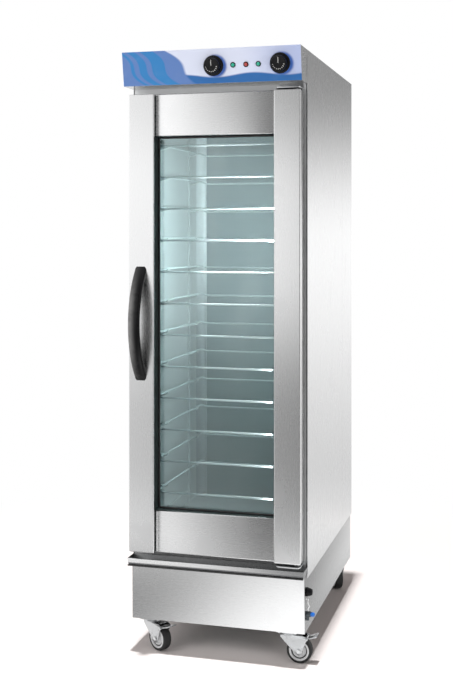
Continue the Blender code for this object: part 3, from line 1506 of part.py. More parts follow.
def upper_hinge():
    """The bracket above the door, its pin pointing down into the core."""
    low = DOOR_TOP + HINGE_DOOR_GAP
    high = low + HINGE_PLATE_THICKNESS
    middle = (low + high) / 2
    pin_end = DOOR_TOP - SKIN_STEP - HINGE_PIN_GRIP
    flange = (low - HINGE_FLANGE_INSET, low + HINGE_FLANGE_HEIGHT)
    return hinge_bracket((low, high), flange, (pin_end, middle))


def lower_hinge():
    """The bracket under the door, with a collar that the door's weight rests on."""
    high = DOOR_BOTTOM - LOWER_HINGE_DOOR_GAP
    low = high - HINGE_PLATE_THICKNESS
    middle = high - HINGE_PLATE_THICKNESS / 2
    core_bottom = DOOR_BOTTOM + SKIN_STEP
    flange = (high - LOWER_HINGE_FLANGE_HEIGHT, high + HINGE_FLANGE_INSET)
    pin = (middle, core_bottom + HINGE_PIN_GRIP)
    return hinge_bracket((low, high), flange, pin, (middle, core_bottom - GAP))


def add_door(root):
    """The door's pieces on an empty at its hinge axis, and the two brackets on the body."""
    piece("upper_hinge_bracket", upper_hinge(), ZINC, root)
    piece("lower_hinge_bracket", lower_hinge(), ZINC, root)
    axis = (PIVOT_X, PIVOT_Y, 0)
    hinge = frame_empty("door_hinge_axis", root, axis)
    back_to_cabinet = Matrix.Translation(-Vector(axis))
    for name, mesh, look, smooth in (
        ("door_latch_stile", stile(-1), STAINLESS, True),
        ("door_hinge_stile", stile(1), STAINLESS, True),
        ("door_top_rail", rail(WINDOW_TOP, DOOR_TOP), STAINLESS, True),
        ("door_bottom_rail", rail(DOOR_BOTTOM, WINDOW_BOTTOM), STAINLESS, True),
        ("door_core", door_core(), BLACK_PLASTIC, False),
        ("door_glass", door_glass(), CLEAR_GLASS, False),
        ("door_inner_skin", door_inner_skin(), LINER_STEEL, False),
        ("door_seal", door_seal(), BLACK_RUBBER, False),
        ("door_handle", door_handle(), BLACK_PLASTIC, True),
    ):
        piece(name, moved(mesh, back_to_cabinet), look, hinge, smooth=smooth)


# Casters, drawn with the swivel axis on Z, the trail along +X and the axle along Y

def caster_wheel():
    """Tyre, rim, web and hub of one wheel, turned round its axle."""
    rim = WHEEL_RADIUS - TYRE_THICKNESS
    hub_side = WHEEL_WIDTH / 2 + HUB_REACH
    half = [
        (AXLE_RADIUS + RUNNING_GAP, hub_side),
        (HUB_RADIUS, hub_side),
        (HUB_RADIUS + HUB_TAPER, WEB_WIDTH / 2),
        (rim - RIM_FLARE, WEB_WIDTH / 2),
        (rim, WHEEL_WIDTH / 2 - RIM_INSET),
        (WHEEL_RADIUS - TYRE_SHOULDER, WHEEL_WIDTH / 2),
        (WHEEL_RADIUS, WHEEL_WIDTH / 2 - TYRE_CROWN_INSET),
    ]
    profile = half + [(radius, -height) for radius, height in reversed(half)]
    wheel = turned_mesh(profile, WHEEL_SIDES, circumscribed=True)
    level_facet = Matrix.Rotation(math.pi / 2, 4, "X")
    return moved(wheel, level_facet)


def fork_side():
    """The fork's outline from the side: head, cheeks down to the axle, and the pedal's ears."""
    bridge_top = FORK_HEAD_BOTTOM + FORK_BRIDGE_THICKNESS
    return (
        [(-FORK_FRONT_REACH, bridge_top), (-FORK_FRONT_REACH, bridge_top - FORK_SHOULDER_DROP)]
        + arc((CASTER_TRAIL, WHEEL_RADIUS), FORK_EYE_RADIUS, 215, 375, 5)
        + arc((PEDAL_PIVOT_REACH, PEDAL_PIVOT_HEIGHT), FORK_EAR_RADIUS, -80, 90, 4)
        + [(FORK_REAR_REACH, bridge_top)]
    )


def caster_fork():
    """The pressed fork: head with its kingpin, bridge, cheeks, the axle and the pedal's pin."""
    bridge_top = FORK_HEAD_BOTTOM + FORK_BRIDGE_THICKNESS
    inner = FORK_INNER_HALF
    outer = inner + FORK_SHEET
    end = PEDAL_PIVOT_REACH + FORK_EAR_RADIUS + OVERRUN
    channel = box_mesh((-FORK_FRONT_REACH - OVERRUN, -inner, 0), (end, inner, FORK_HEAD_BOTTOM))
    mouth = box_mesh(
        (FORK_REAR_REACH - FORK_SHEET, -inner, FORK_HEAD_BOTTOM - OVERRUN),
        (end, inner, bridge_top + OVERRUN),
    )
    pressing = combined(prism_mesh(fork_side(), "XZ", -outer, outer), cut=[channel, mouth])
    edge = (FORK_HEAD_TOP - bridge_top) / 2
    head = turned_mesh(
        solid_profile(
            [
                (FORK_HEAD_RADIUS, FORK_HEAD_BOTTOM + FORK_BRIDGE_THICKNESS / 2),
                (FORK_HEAD_RADIUS, FORK_HEAD_TOP - edge),
                (FORK_HEAD_RADIUS - edge, FORK_HEAD_TOP),
            ]
        ),
        SMALL_SIDES,
    )
    axle = cross_pin(AXLE_RADIUS, (CASTER_TRAIL, 0, WHEEL_RADIUS), outer + AXLE_END)
    pivot = (PEDAL_PIVOT_REACH, 0, PEDAL_PIVOT_HEIGHT)
    pin = cross_pin(PEDAL_PIN_RADIUS, pivot, outer + AXLE_END / 2)
    shoulder = BASE_BOTTOM + BASE_SHEET + GAP
    kingpin = turned_mesh(
        solid_profile(
            [
                (KINGPIN_RADIUS, FORK_HEAD_BOTTOM + FORK_BRIDGE_THICKNESS),
                (KINGPIN_RADIUS, shoulder),
                (KINGPIN_HEAD_RADIUS, shoulder),
                (KINGPIN_HEAD_RADIUS, shoulder + KINGPIN_HEAD_THICKNESS),
            ]
        ),
        SMALL_SIDES,
    )
    return combined(pressing, add=[head, kingpin, axle, pin])


def cross_pin(radius, place, half_length, circumscribed=False):
    """A round pin along Y, or a cutter or barrel whose facets stand outside its radius."""
    profile = solid_profile([(radius, -half_length), (radius, half_length)])
    return along_y(turned_mesh(profile, PIN_SIDES, circumscribed), place)


def brake_pedal():
    """The brake's foot lever: a barrel on its pin, the pedal, and a nose against the tyre."""
    pivot = Vector((PEDAL_PIVOT_REACH, 0, PEDAL_PIVOT_HEIGHT))
    barrel_half = FORK_INNER_HALF - PEDAL_SIDE_CLEARANCE
    arm_half = barrel_half - PEDAL_SIDE_CLEARANCE
    barrel = cross_pin(PEDAL_BARREL_RADIUS, pivot, barrel_half, circumscribed=True)
    thick = PEDAL_THICKNESS
    length = PEDAL_FOOT_START + PEDAL_FOOT_LENGTH
    tip = Vector((PEDAL_PIVOT_REACH + length, 0, PEDAL_PIVOT_HEIGHT + PEDAL_RISE))
    slope = PEDAL_RISE / length
    foot_start = tip.x - PEDAL_FOOT_LENGTH
    foot_level = tip.z - PEDAL_FOOT_LENGTH * slope
    arm_end = foot_start + thick
    arm = prism_mesh(
        [
            (pivot.x, pivot.z + thick / 2),
            (pivot.x, pivot.z - thick / 2),
            (arm_end, foot_level + thick * slope - thick / 2),
            (arm_end, foot_level + thick * slope + thick / 4),
        ],
        "XZ", -arm_half, arm_half,
    )
    foot = prism_mesh(
        [
            (foot_start, foot_level + thick / 2),
            (foot_start, foot_level - thick / 2 - GAP),
            (tip.x, tip.z - thick / 2),
            (tip.x, tip.z + PEDAL_LIP),
            (tip.x - thick, tip.z + PEDAL_LIP),
            (tip.x - thick, tip.z + thick / 2),
        ],
        "XZ", -PEDAL_FOOT_WIDTH / 2, PEDAL_FOOT_WIDTH / 2,
    )
    hub = Vector((CASTER_TRAIL, 0, WHEEL_RADIUS))
    towards = (hub - pivot).normalized()
    sideways = Vector((-towards.z, 0, towards.x)) * (PEDAL_NOSE_THICKNESS / 2)
    tyre = WHEEL_RADIUS / math.cos(math.pi / WHEEL_SIDES) + GAP
    end = hub - towards * tyre
    corners = [pivot + sideways, end + sideways, end - sideways, pivot - sideways]
    nose_half = WHEEL_WIDTH / 2 - TYRE_CROWN_INSET
    nose = prism_mesh([(point.x, point.z) for point in corners], "XZ", -nose_half, nose_half)
    clear = PEDAL_PIN_RADIUS + RUNNING_GAP
    bore = cross_pin(clear, pivot, FORK_INNER_HALF, circumscribed=True)
    return combined(barrel, add=[arm, foot, nose], cut=[bore])


def add_casters(root):
    """Four swivel casters, the front pair with brakes."""
    fork = caster_fork()
    wheel = caster_wheel()
    pedal = brake_pedal()
    axle = (CASTER_TRAIL, 0, WHEEL_RADIUS)
    pivot = (PEDAL_PIVOT_REACH, 0, PEDAL_PIVOT_HEIGHT)
    for place, (x, y) in CASTER_PLACES.items():
        yaw = math.radians(CASTER_YAWS[place])
        swivel = frame_empty(f"swivel_axis_{place}", root, (x, y, 0), (0, 0, yaw))
        piece(f"caster_fork_{place}", fork, ZINC, swivel)
        piece(f"caster_wheel_{place}", wheel, BLACK_RUBBER, swivel, smooth=True).location = axle
        if place in BRAKED_CASTERS:
            piece(f"brake_pedal_{place}", pedal, ZINC, swivel, origin=pivot)


# The whole cabinet

def centre_footprint(root):
    """Move the cabinet so that the middle of its footprint stands on the origin."""
    bpy.context.view_layer.update()
    corners = []
    for thing in bpy.data.objects:
        if thing.type == "MESH":
            corners += [thing.matrix_world @ vert.co for vert in thing.data.vertices]
    for axis in (0, 1):
        values = [corner[axis] for corner in corners]
        root.location[axis] = -(min(values) + max(values)) / 2
    bpy.context.view_layer.update()
    print("cabinet moved by", [round(value, 6) for value in root.location])


def main():
    """Build the cabinet."""
    clear_scene()
    root = frame_empty("cabinet")
    add_body(root)
    add_air_system(root)
    add_shelves(root)
    add_base(root)
    add_controls(root)
    add_door(root)
    add_casters(root)
    centre_footprint(root)


main()
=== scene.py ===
"""Looks of an upright proofing cabinet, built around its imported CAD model.

Metres, +Z up, in the frame of the CAD model: the door faces -Y and the floor is Z = 0.
"""

import logging
import math
from contextlib import contextmanager
from dataclasses import dataclass
from enum import Enum
from typing import Any, Callable, ClassVar, Iterator, Optional, Sequence, Union

import bmesh
import bpy
from mathutils import Matrix, Vector


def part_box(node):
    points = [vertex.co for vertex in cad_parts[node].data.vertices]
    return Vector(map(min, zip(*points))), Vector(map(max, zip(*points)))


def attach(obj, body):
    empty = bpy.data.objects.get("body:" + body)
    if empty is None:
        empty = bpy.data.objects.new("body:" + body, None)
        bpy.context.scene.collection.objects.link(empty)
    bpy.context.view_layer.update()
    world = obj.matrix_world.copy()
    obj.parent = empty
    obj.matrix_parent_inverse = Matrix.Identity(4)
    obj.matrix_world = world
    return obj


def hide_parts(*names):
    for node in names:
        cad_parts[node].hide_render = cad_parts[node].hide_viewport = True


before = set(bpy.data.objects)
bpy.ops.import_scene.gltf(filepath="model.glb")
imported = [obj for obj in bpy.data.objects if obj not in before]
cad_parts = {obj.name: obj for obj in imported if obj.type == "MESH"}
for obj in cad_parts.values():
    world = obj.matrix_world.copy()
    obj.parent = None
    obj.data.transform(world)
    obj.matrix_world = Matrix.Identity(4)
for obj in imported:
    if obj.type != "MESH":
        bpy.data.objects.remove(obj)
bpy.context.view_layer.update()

LOG = logging.getLogger("proofing_cabinet")
ORIGIN = Vector((-0.014, -0.33085, 0.0))  # middle of the body's width, face of the body, floor
QUARTER_TURN = math.pi / 2

Pair = tuple[float, float]
Triple = tuple[float, float, float]
Point = Triple
Colour = Triple
Profile = tuple[Pair, ...]


class Brushed(Enum):
    """How a sheet's drawn lines run, as factors on the noise that draws them."""

    ACROSS = (0.02, 1.0, 1.0)
    UPRIGHT = (1.0, 1.0, 0.02)


class Signal:
    """A number that varies over a surface, for use in plain Python sums."""

    def __init__(self, graph: "Graph", socket: bpy.types.NodeSocket) -> None:
        """Wrap one output socket of a graph."""
        self.graph = graph
        self.socket = socket

    def math(self, operation: str, *others: Any, first: Any = None) -> "Signal":
        """Add one Math node.

        Args:
            operation: Blender's name of the operation.
            others: the inputs after the first, as numbers or signals.
            first: the first input, where it isn't this signal.

        Returns:
            The node's result.
        """
        inputs = dict(enumerate((self if first is None else first, *others)))
        node = self.graph.node("ShaderNodeMath", {"operation": operation}, inputs)
        return Signal(self.graph, node.outputs[0])

    def __add__(self, other: Any) -> "Signal":
        """Sum."""
        return self.math("ADD", other)

    def __sub__(self, other: Any) -> "Signal":
        """Difference."""
        return self.math("SUBTRACT", other)

    def __rsub__(self, other: Any) -> "Signal":
        """Difference from a plain number."""
        return self.math("SUBTRACT", self, first=other)

    def __mul__(self, other: Any) -> "Signal":
        """Product."""
        return self.math("MULTIPLY", other)

    def __truediv__(self, other: Any) -> "Signal":
        """Quotient."""
        return self.math("DIVIDE", other)

    def __rtruediv__(self, other: Any) -> "Signal":
        """Quotient of a plain number."""
        return self.math("DIVIDE", self, first=other)

    def __pow__(self, other: Any) -> "Signal":
        """Power."""
        return self.math("POWER", other)

    __radd__ = __add__
    __rmul__ = __mul__

    def largest(self, other: Any) -> "Signal":
        """The larger of two."""
        return self.math("MAXIMUM", other)

    def smallest(self, other: Any) -> "Signal":
        """The smaller of two."""
        return self.math("MINIMUM", other)

    def size(self) -> "Signal":
        """The absolute value."""
        return self.math("ABSOLUTE")

    def sine(self) -> "Signal":
        """The sine of an angle in radians."""
        return self.math("SINE")

    def step(self, low: float, high: float) -> "Signal":
        """Step smoothly from 0 to 1.

        Args:
            low: up to where it is 0.
            high: from where it is 1.

        Returns:
            The step.
        """
        sockets = {"Value": self, "From Min": low, "From Max": high}
        settings = {"interpolation_type": "SMOOTHSTEP"}
        node = self.graph.node("ShaderNodeMapRange", settings, sockets)
        return Signal(self.graph, node.outputs["Result"])


@dataclass(frozen=True)
class Wave:
    """A sine wave drawn along a signal."""

    rate: float
    start: float
    height: float

    def along(self, signal: Signal) -> Signal:
        """The wave's height at each value of the signal."""
        return (signal * self.rate + self.start).sine() * self.height


class Graph:
    """The node tree of a material or a world."""

    def __init__(
        self, owner: Union[bpy.types.Material, bpy.types.World], kind: str = "Material"
    ) -> None:
        """Empty the tree but for a new output node.

        Args:
            owner: the material or world whose nodes these are.
            kind: Blender's word for it, in the output node's type.
        """
        owner.use_nodes = True
        self.tree = owner.node_tree
        self.tree.nodes.clear()
        self.output = self.tree.nodes.new(f"ShaderNodeOutput{kind}")

    def join(self, value: Any, socket: bpy.types.NodeSocket) -> None:
        """Set an input, or link it.

        Args:
            value: a plain value, a signal, or another node's socket.
            socket: the input; a colour is given to it as three numbers.
        """
        value = value.socket if isinstance(value, Signal) else value
        if isinstance(value, bpy.types.NodeSocket):
            self.tree.links.new(value, socket)
        elif socket.type == "RGBA":
            socket.default_value = (*value, 1.0)
        else:
            socket.default_value = value

    def node(
        self,
        kind: str,
        settings: Optional[dict[str, Any]] = None,
        sockets: Optional[dict[Union[int, str], Any]] = None,
    ) -> bpy.types.Node:
        """Add a node.

        Args:
            kind: Blender's type name.
            settings: the node's own properties, set before the sockets.
            sockets: what each input is joined to.

        Returns:
            The new node.
        """
        node = self.tree.nodes.new(kind)
        for key, value in (settings or {}).items():
            setattr(node, key, value)
        for key, value in (sockets or {}).items():
            self.join(value, node.inputs[key])
        return node

    def place(self) -> bpy.types.NodeSocket:
        """The point on the piece, in metres."""
        return self.node("ShaderNodeTexCoord").outputs["Object"]

    def axes(self) -> tuple[Signal, Signal, Signal]:
        """The X, Y and Z of the point on the piece."""
        split = self.node("ShaderNodeSeparateXYZ", None, {0: self.place()})
        return tuple(Signal(self, socket) for socket in split.outputs)

    def noise(self, scale: float, detail: float, stretch: Triple = (1.0, 1.0, 1.0)) -> Signal:
        """Soft noise from 0 to 1.

        Args:
            scale: waves in a metre.
            detail: how many finer layers it has.
            stretch: a factor on the scale along each axis.

        Returns:
            The noise.
        """
        sockets = {"Vector": self.place(), "Scale": stretch}
        mapped = self.node("ShaderNodeMapping", {"vector_type": "POINT"}, sockets)
        sockets = {"Vector": mapped.outputs[0], "Scale": scale, "Detail": detail}
        node = self.node("ShaderNodeTexNoise", {"noise_dimensions": "3D"}, sockets)
        return Signal(self, node.outputs[0])

    def blend(self, factor: Any, first: Any, second: Any) -> bpy.types.NodeSocket:
        """Mix two colours.

        Args:
            factor: the share of the second colour.
            first: a colour or a colour socket.
            second: a colour or a colour socket.

        Returns:
            The mixed colour.
        """
        node = self.node("ShaderNodeMix", {"data_type": "RGBA"})
        inputs = [socket for socket in node.inputs if socket.enabled]
        for socket, value in zip(inputs, (factor, first, second)):
            self.join(value, socket)
        return next(socket for socket in node.outputs if socket.enabled)

    def relief(
        self, height: Signal, depth: float, over: Optional[bpy.types.NodeSocket] = None
    ) -> bpy.types.NodeSocket:
        """Bend the normal by a relief.

        Args:
            height: the relief, from 0 to 1.
            depth: the metres that 1 stands for.
            over: a normal that is bent already.

        Returns:
            The bent normal.
        """
        sockets = {"Height": height, "Distance": depth}
        if over is not None:
            sockets["Normal"] = over
        return self.node("ShaderNodeBump", None, sockets).outputs[0]

    def shown(self, shader: bpy.types.Node) -> None:
        """Join a shader to the output."""
        self.tree.links.new(shader.outputs[0], self.output.inputs["Surface"])

    def shown_mix(self, share: Signal, first: bpy.types.Node, second: bpy.types.Node) -> None:
        """Join a mix of two shaders to the output, with the share of the second."""
        sockets = {0: share, 1: first.outputs[0], 2: second.outputs[0]}
        self.shown(self.node("ShaderNodeMixShader", None, sockets))

    def shown_surface(self, sockets: dict[str, Any]) -> None:
        """Join a Principled shader with these inputs to the output."""
        self.shown(self.node("ShaderNodeBsdfPrincipled", None, sockets))

    def glow(self, colour: Any) -> bpy.types.Node:
        """A shader that glows in a colour, at a strength of 1."""
        return self.node("ShaderNodeEmission", None, {"Color": colour, "Strength": 1.0})


class Finish:
    """A surface finish: one material, made when it is first asked for."""

    name: str
    made: ClassVar[dict[str, bpy.types.Material]] = {}

    def nodes(self, graph: Graph) -> None:
        """Lay out the finish's nodes."""
        raise NotImplementedError

    def material(self) -> bpy.types.Material:
        """Make the finish's material once, for all the pieces that wear it.

        Returns:
            The material.
        """
        if self.name not in Finish.made:
            Finish.made[self.name] = bpy.data.materials.new(self.name)
            self.nodes(Graph(Finish.made[self.name]))
        return Finish.made[self.name]

    def dress(self, *pieces: Union[str, bpy.types.Object]) -> None:
        """Give the finish to pieces.

        Args:
            pieces: new objects, or the names of CAD nodes.
        """
        for piece in pieces:
            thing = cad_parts[piece] if isinstance(piece, str) else piece
            thing.data.materials.clear()
            thing.data.materials.append(self.material())


@dataclass(frozen=True)
class BrushedSteel(Finish):
    """Satin stainless sheet: drawn lines, faint clouds in the polish, and a few handling marks.

    A crown bows the sheet's normals across X, about its middle, and a lean tips them along Z.
    """

    name: str
    colour: Colour = (0.72, 0.722, 0.725)
    roughness: float = 0.27
    brushed: Brushed = Brushed.UPRIGHT
    metal: float = 1.0
    line_scale: float = 1100.0
    lines_in_band: float = 7.0
    line_depth: float = 0.0000005
    line_share: float = 0.7
    line_tone: float = 0.014
    band_tone: float = 0.006
    line_gloss: float = 0.03
    band_gloss: float = 0.014
    cloud_scale: float = 3.5
    cloud: float = 0.025
    smudge_scale: float = 11.0
    smudge_range: Pair = (0.56, 0.78)
    smudge: float = 0.05
    crown: float = 0.0
    middle: float = 0.0
    lean: float = 0.0

    def tone(self, graph: Graph) -> Any:
        """The sheet's colour before the drawn lines are laid over it."""
        return self.colour

    def nodes(self, graph: Graph) -> None:
        """Lay out the nodes.

        Args:
            graph: the tree that they go into.
        """
        lines = graph.noise(self.line_scale, 1.0, self.brushed.value)
        bands = graph.noise(self.line_scale / self.lines_in_band, 2.0, self.brushed.value)
        clouds = graph.noise(self.cloud_scale, 3.0)
        smudges = graph.noise(self.smudge_scale, 4.0).step(*self.smudge_range)
        level = lines * self.line_tone + bands * self.band_tone + clouds * self.cloud * 2
        level = level + (1.0 - (self.line_tone + self.band_tone) / 2 - self.cloud)
        rough = lines * self.line_gloss + bands * self.band_gloss + smudges * self.smudge
        rough = rough + (self.roughness - (self.line_gloss + self.band_gloss) / 2)
        over = None
        if self.crown:
            x, _, z = graph.axes()
            across = x - self.middle
            over = graph.relief(across * across * -self.crown - z * self.lean, 1.0)
        drawn = lines * self.line_share + bands * (1.0 - self.line_share)
        graph.shown_surface(
            {
                "Base Color": graph.blend(level, (0.0, 0.0, 0.0), self.tone(graph)),
                "Metallic": self.metal,
                "Roughness": rough,
                "Normal": graph.relief(drawn, self.line_depth, over),
            }
        )


@dataclass(frozen=True)
class LinerSteel(BrushedSteel):
    """The chamber's sheet: bright on the flange round its mouth, darker behind it, where the darker
    colour is painted shade of the chamber's inside.
    """

    # painted shade: this darker colour stands in for the dim light inside the chamber
    colour: Colour = (0.345, 0.395, 0.40)
    roughness: float = 0.36
    metal: float = 0.55
    flange: Colour = (0.66, 0.67, 0.68)
    mouth: float = ORIGIN.y + 0.006
    blur: float = 0.003

    def tone(self, graph: Graph) -> Any:
        """The sheet's colour, by the distance behind its flange."""
        # painted shade behind the flange, inside the chamber
        inside = graph.axes()[1].step(self.mouth - self.blur, self.mouth + self.blur)
        return graph.blend(inside, self.flange, self.colour)


@dataclass(frozen=True)
class FootShadedSteel(BrushedSteel):
    """Bright sheet, darker towards its foot: painted shade, where less light reaches it."""

    # painted shade: the darker colour towards the sheet's foot
    dull: Colour = (0.20, 0.235, 0.245)
    shaded_below: float = 0.80
    lit_above: float = 1.30

    def tone(self, graph: Graph) -> Any:
        """The sheet's colour, by its height."""
        height = graph.axes()[2]
        return graph.blend(height.step(self.shaded_below, self.lit_above), self.dull, self.colour)


@dataclass(frozen=True)
class HousingSteel(BrushedSteel):
    """The base's sheet: its two side walls are darkened under the hem of the skins above them, a
    painted shade.

    A point is on a wall past the second of the two distances from the middle in wall.
    """

    # painted shade under the hem of the skins
    dull: Colour = (0.23, 0.23, 0.232)
    wall: Pair = (0.2645, 0.2660)
    foot: float = 0.10
    hem: float = 0.262
    depth: float = 1.7

    def tone(self, graph: Graph) -> Any:
        """Paint shade on the walls just under the hem and in front, and leave them bright at the foot.

        Args:
            graph: the tree of the finish.

        Returns:
            The sheet's colour.
        """
        x, y, z = graph.axes()
        on_wall = (x - ORIGIN.x).size().step(*self.wall)
        # painted shade: strongest just under the hem and towards the front
        share = z.step(self.foot, self.hem) * (1 - (y - ORIGIN.y).step(0.0, self.depth))
        return graph.blend(on_wall * share, self.colour, self.dull)


@dataclass(frozen=True)
class TraySteel(BrushedSteel):
    """The tray's sheet: its lip is bright at the left and darker at the right, a painted reflection,
    and the sunk part behind the lip is darker, a painted shade.
    """

    # painted reflection: the lip's colour at its right end
    dull: Colour = (0.34, 0.342, 0.345)
    # painted shade behind the lip
    trough_shade: Colour = (0.22, 0.223, 0.226)
    lip: Pair = (ORIGIN.y - 0.0520, ORIGIN.y - 0.0510)
    fall: Pair = (ORIGIN.x - 0.10, ORIGIN.x + 0.26)

    def tone(self, graph: Graph) -> Any:
        """Paint reflection along the lip and shade behind it.

        Args:
            graph: the tree of the finish.

        Returns:
            The sheet's colour.
        """
        x, y, _ = graph.axes()
        # painted reflection along the lip, then painted shade behind it
        along = graph.blend(x.step(*self.fall), self.colour, self.dull)
        return graph.blend(y.step(*self.lip), along, self.trough_shade)


@dataclass(frozen=True)
class PlatedSteel(Finish):
    """Pressed steel under bright zinc: a fine mottle and scattered stains that dull it."""

    name: str
    colour: Colour = (0.74, 0.75, 0.76)
    roughness: float = 0.26
    metal: float = 1.0
    relief: float = 0.00002
    stain: float = 0.16
    dull_share: float = 0.58
    mottle_scale: float = 320.0
    mottle_gloss: float = 0.14
    stain_scale: float = 60.0
    stain_range: Pair = (0.52, 0.72)
    stain_gloss: float = 0.12

    def tone(self, graph: Graph) -> Any:
        """The plating's colour before its stains."""
        return self.colour

    def nodes(self, graph: Graph) -> None:
        """Lay out the nodes.

        Args:
            graph: the tree that they go into.
        """
        mottle = graph.noise(self.mottle_scale, 3.0)
        stains = graph.noise(self.stain_scale, 4.0).step(*self.stain_range)
        dull = tuple(part * self.dull_share for part in self.colour)
        rough = mottle * self.mottle_gloss + stains * self.stain_gloss
        graph.shown_surface(
            {
                "Base Color": graph.blend(
                    mottle * self.stain + stains * self.stain, self.tone(graph), dull
                ),
                "Metallic": self.metal,
                "Roughness": rough + (self.roughness - self.stain_gloss / 2),
                "Normal": graph.relief(mottle, self.relief),
            }
        )


@dataclass(frozen=True)
class ShelfWire(PlatedSteel):
    """Bright shelf wire, with painted shade towards the latch side and the back, where the wire
    reflects dark.
    """

    # painted shade: the duller colour stands in for the dark reflection on the latch side and the back
    wear_and_shade: Colour = (0.27, 0.335, 0.345)
    bright_from: float = ORIGIN.x - 0.074
    front: float = ORIGIN.y + 0.03
    slant: float = 0.30
    fade: float = 0.03

    def tone(self, graph: Graph) -> Any:
        """Paint shade on the wire by its place across and into the chamber.

        Args:
            graph: the tree of the finish.

        Returns:
            The wire's colour.
        """
        x, y, _ = graph.axes()
        # painted shade, which gives way to the bright colour across the chamber
        across = x - (y - self.front) * self.slant
        bright = across.step(self.bright_from - self.fade, self.bright_from + self.fade)
        return graph.blend(bright, self.wear_and_shade, self.colour)


@dataclass(frozen=True)
class Moulded(Finish):
    """A moulded plastic: a fine skin, dust in it, and paler spots of wear that shine more."""

    name: str
    colour: Colour
    roughness: float = 0.35
    coat: float = 0.0
    coat_roughness: float = 0.06
    shine: float = 0.14
    skin_scale: float = 1400.0
    skin_depth: float = 0.000015
    skin_tone: float = 0.35
    skin_gloss: float = 0.10
    rub_scale: float = 28.0
    rub_range: Pair = (0.45, 0.75)
    rub_tone: float = 0.3
    rub_gloss: float = 0.08
    dust_gain: float = 1.25
    dust_lift: float = 0.006

    def tone(self, graph: Graph) -> Any:
        """The plastic's colour before its skin and its spots of wear."""
        return self.colour

    def nodes(self, graph: Graph) -> None:
        """Lay out the nodes.

        Args:
            graph: the tree that they go into.
        """
        skin = graph.noise(self.skin_scale, 2.0)
        wear_and_sheen = graph.noise(self.rub_scale, 4.0).step(*self.rub_range)
        pale = tuple(min(1.0, part * self.dust_gain + self.dust_lift) for part in self.colour)
        share = skin * self.skin_tone + wear_and_sheen * self.rub_tone
        graph.shown_surface(
            {
                "Base Color": graph.blend(share, self.tone(graph), pale),
                "Roughness": skin * self.skin_gloss - wear_and_sheen * self.rub_gloss + self.roughness,
                "Coat Weight": self.coat,
                "Coat Roughness": self.coat_roughness,
                "Specular IOR Level": self.shine,
                "Normal": graph.relief(skin, self.skin_depth),
            }
        )


@dataclass(frozen=True)
class GripPlastic(Moulded):
    """A black grip with a painted highlight: paler along its left side, most at its middle."""

    side: float = 0.0
    reach: float = 0.026
    middle: float = 0.0
    half: float = 0.17
    plateau: float = 0.2
    fall: float = 0.88
    # painted highlight: the paler colour of the grip's lit side
    wear_and_sheen: Colour = (0.29, 0.29, 0.29)

    def tone(self, graph: Graph) -> Any:
        """Paint a highlight on the grip by the distance from its left side and its middle.

        Args:
            graph: the tree of the finish.

        Returns:
            The grip's colour.
        """
        x, _, z = graph.axes()
        away = ((z - self.middle) / self.half).size()
        # painted highlight, fading away from the left side and from the middle
        share = 1 - x.step(self.side, self.side + self.reach)
        share = share * (1 - away.step(self.plateau, 1.0) * self.fall)
        return graph.blend(share, self.colour, self.wear_and_sheen)


@dataclass(frozen=True)
class Rubber(Finish):
    """Matte rubber, greyer where it was handled or has rolled through dust."""

    name: str
    colour: Colour = (0.018, 0.018, 0.019)
    dust: Colour = (0.075, 0.073, 0.070)
    roughness: float = 0.56
    skin_scale: float = 900.0
    skin_depth: float = 0.00003
    skin_tone: float = 0.12
    dust_scale: float = 45.0
    dust_range: Pair = (0.48, 0.78)
    dust_tone: float = 0.5
    dust_gloss: float = 0.15

    def nodes(self, graph: Graph) -> None:
        """Lay out the nodes.

        Args:
            graph: the tree that they go into.
        """
        skin = graph.noise(self.skin_scale, 2.0)
        dusty = graph.noise(self.dust_scale, 5.0).step(*self.dust_range)
        share = dusty * self.dust_tone + skin * self.skin_tone
        graph.shown_surface(
            {
                "Base Color": graph.blend(share, self.colour, self.dust),
                "Roughness": skin * self.skin_tone + dusty * self.dust_gloss + self.roughness,
                "Normal": graph.relief(skin, self.skin_depth),
            }
        )


@dataclass(frozen=True)
class MineralWool(Finish):
    """Matted yellow-brown fibre."""

    name: str = "mineral_wool"
    colour: Colour = (0.52, 0.42, 0.22)
    shadow: Colour = (0.24, 0.18, 0.08)
    roughness: float = 0.88
    gloss: float = 0.1
    fibre_scale: float = 420.0
    fibre_stretch: Triple = (1.0, 0.25, 1.0)
    fibre_depth: float = 0.0008

    def nodes(self, graph: Graph) -> None:
        """Lay out the nodes.

        Args:
            graph: the tree that they go into.
        """
        fibre = graph.noise(self.fibre_scale, 4.0, self.fibre_stretch)
        graph.shown_surface(
            {
                "Base Color": graph.blend(fibre, self.shadow, self.colour),
                "Roughness": fibre * self.gloss + self.roughness,
                "Normal": graph.relief(fibre, self.fibre_depth),
            }
        )


@dataclass(frozen=True)
class Pane(Finish):
    """Cabinet door glass: blue-green in the body, bright in reflection, with wiped marks."""

    name: str = "door_pane"
    tint: Colour = (0.865, 0.945, 0.95)
    sheen: Colour = (0.93, 1.0, 1.0)
    index: float = 1.5
    roughness: float = 0.03
    mirror: float = 0.06
    smear: float = 0.04
    smear_scale: float = 9.0
    smear_stretch: Triple = (1.0, 1.0, 0.35)
    smear_range: Pair = (0.42, 0.8)

    def nodes(self, graph: Graph) -> None:
        """Lay out the nodes.

        Args:
            graph: the tree that they go into.
        """
        wiped = graph.noise(self.smear_scale, 4.0, self.smear_stretch).step(*self.smear_range)
        fresnel = Signal(graph, graph.node("ShaderNodeFresnel", None, {"IOR": self.index}).outputs[0])
        share = (fresnel + wiped * self.smear + self.mirror).smallest(1.0)
        clear = graph.node("ShaderNodeBsdfTransparent", None, {"Color": self.tint})
        sockets = {"Color": self.sheen, "Roughness": self.roughness}
        graph.shown_mix(share, clear, graph.node("ShaderNodeBsdfGlossy", None, sockets))


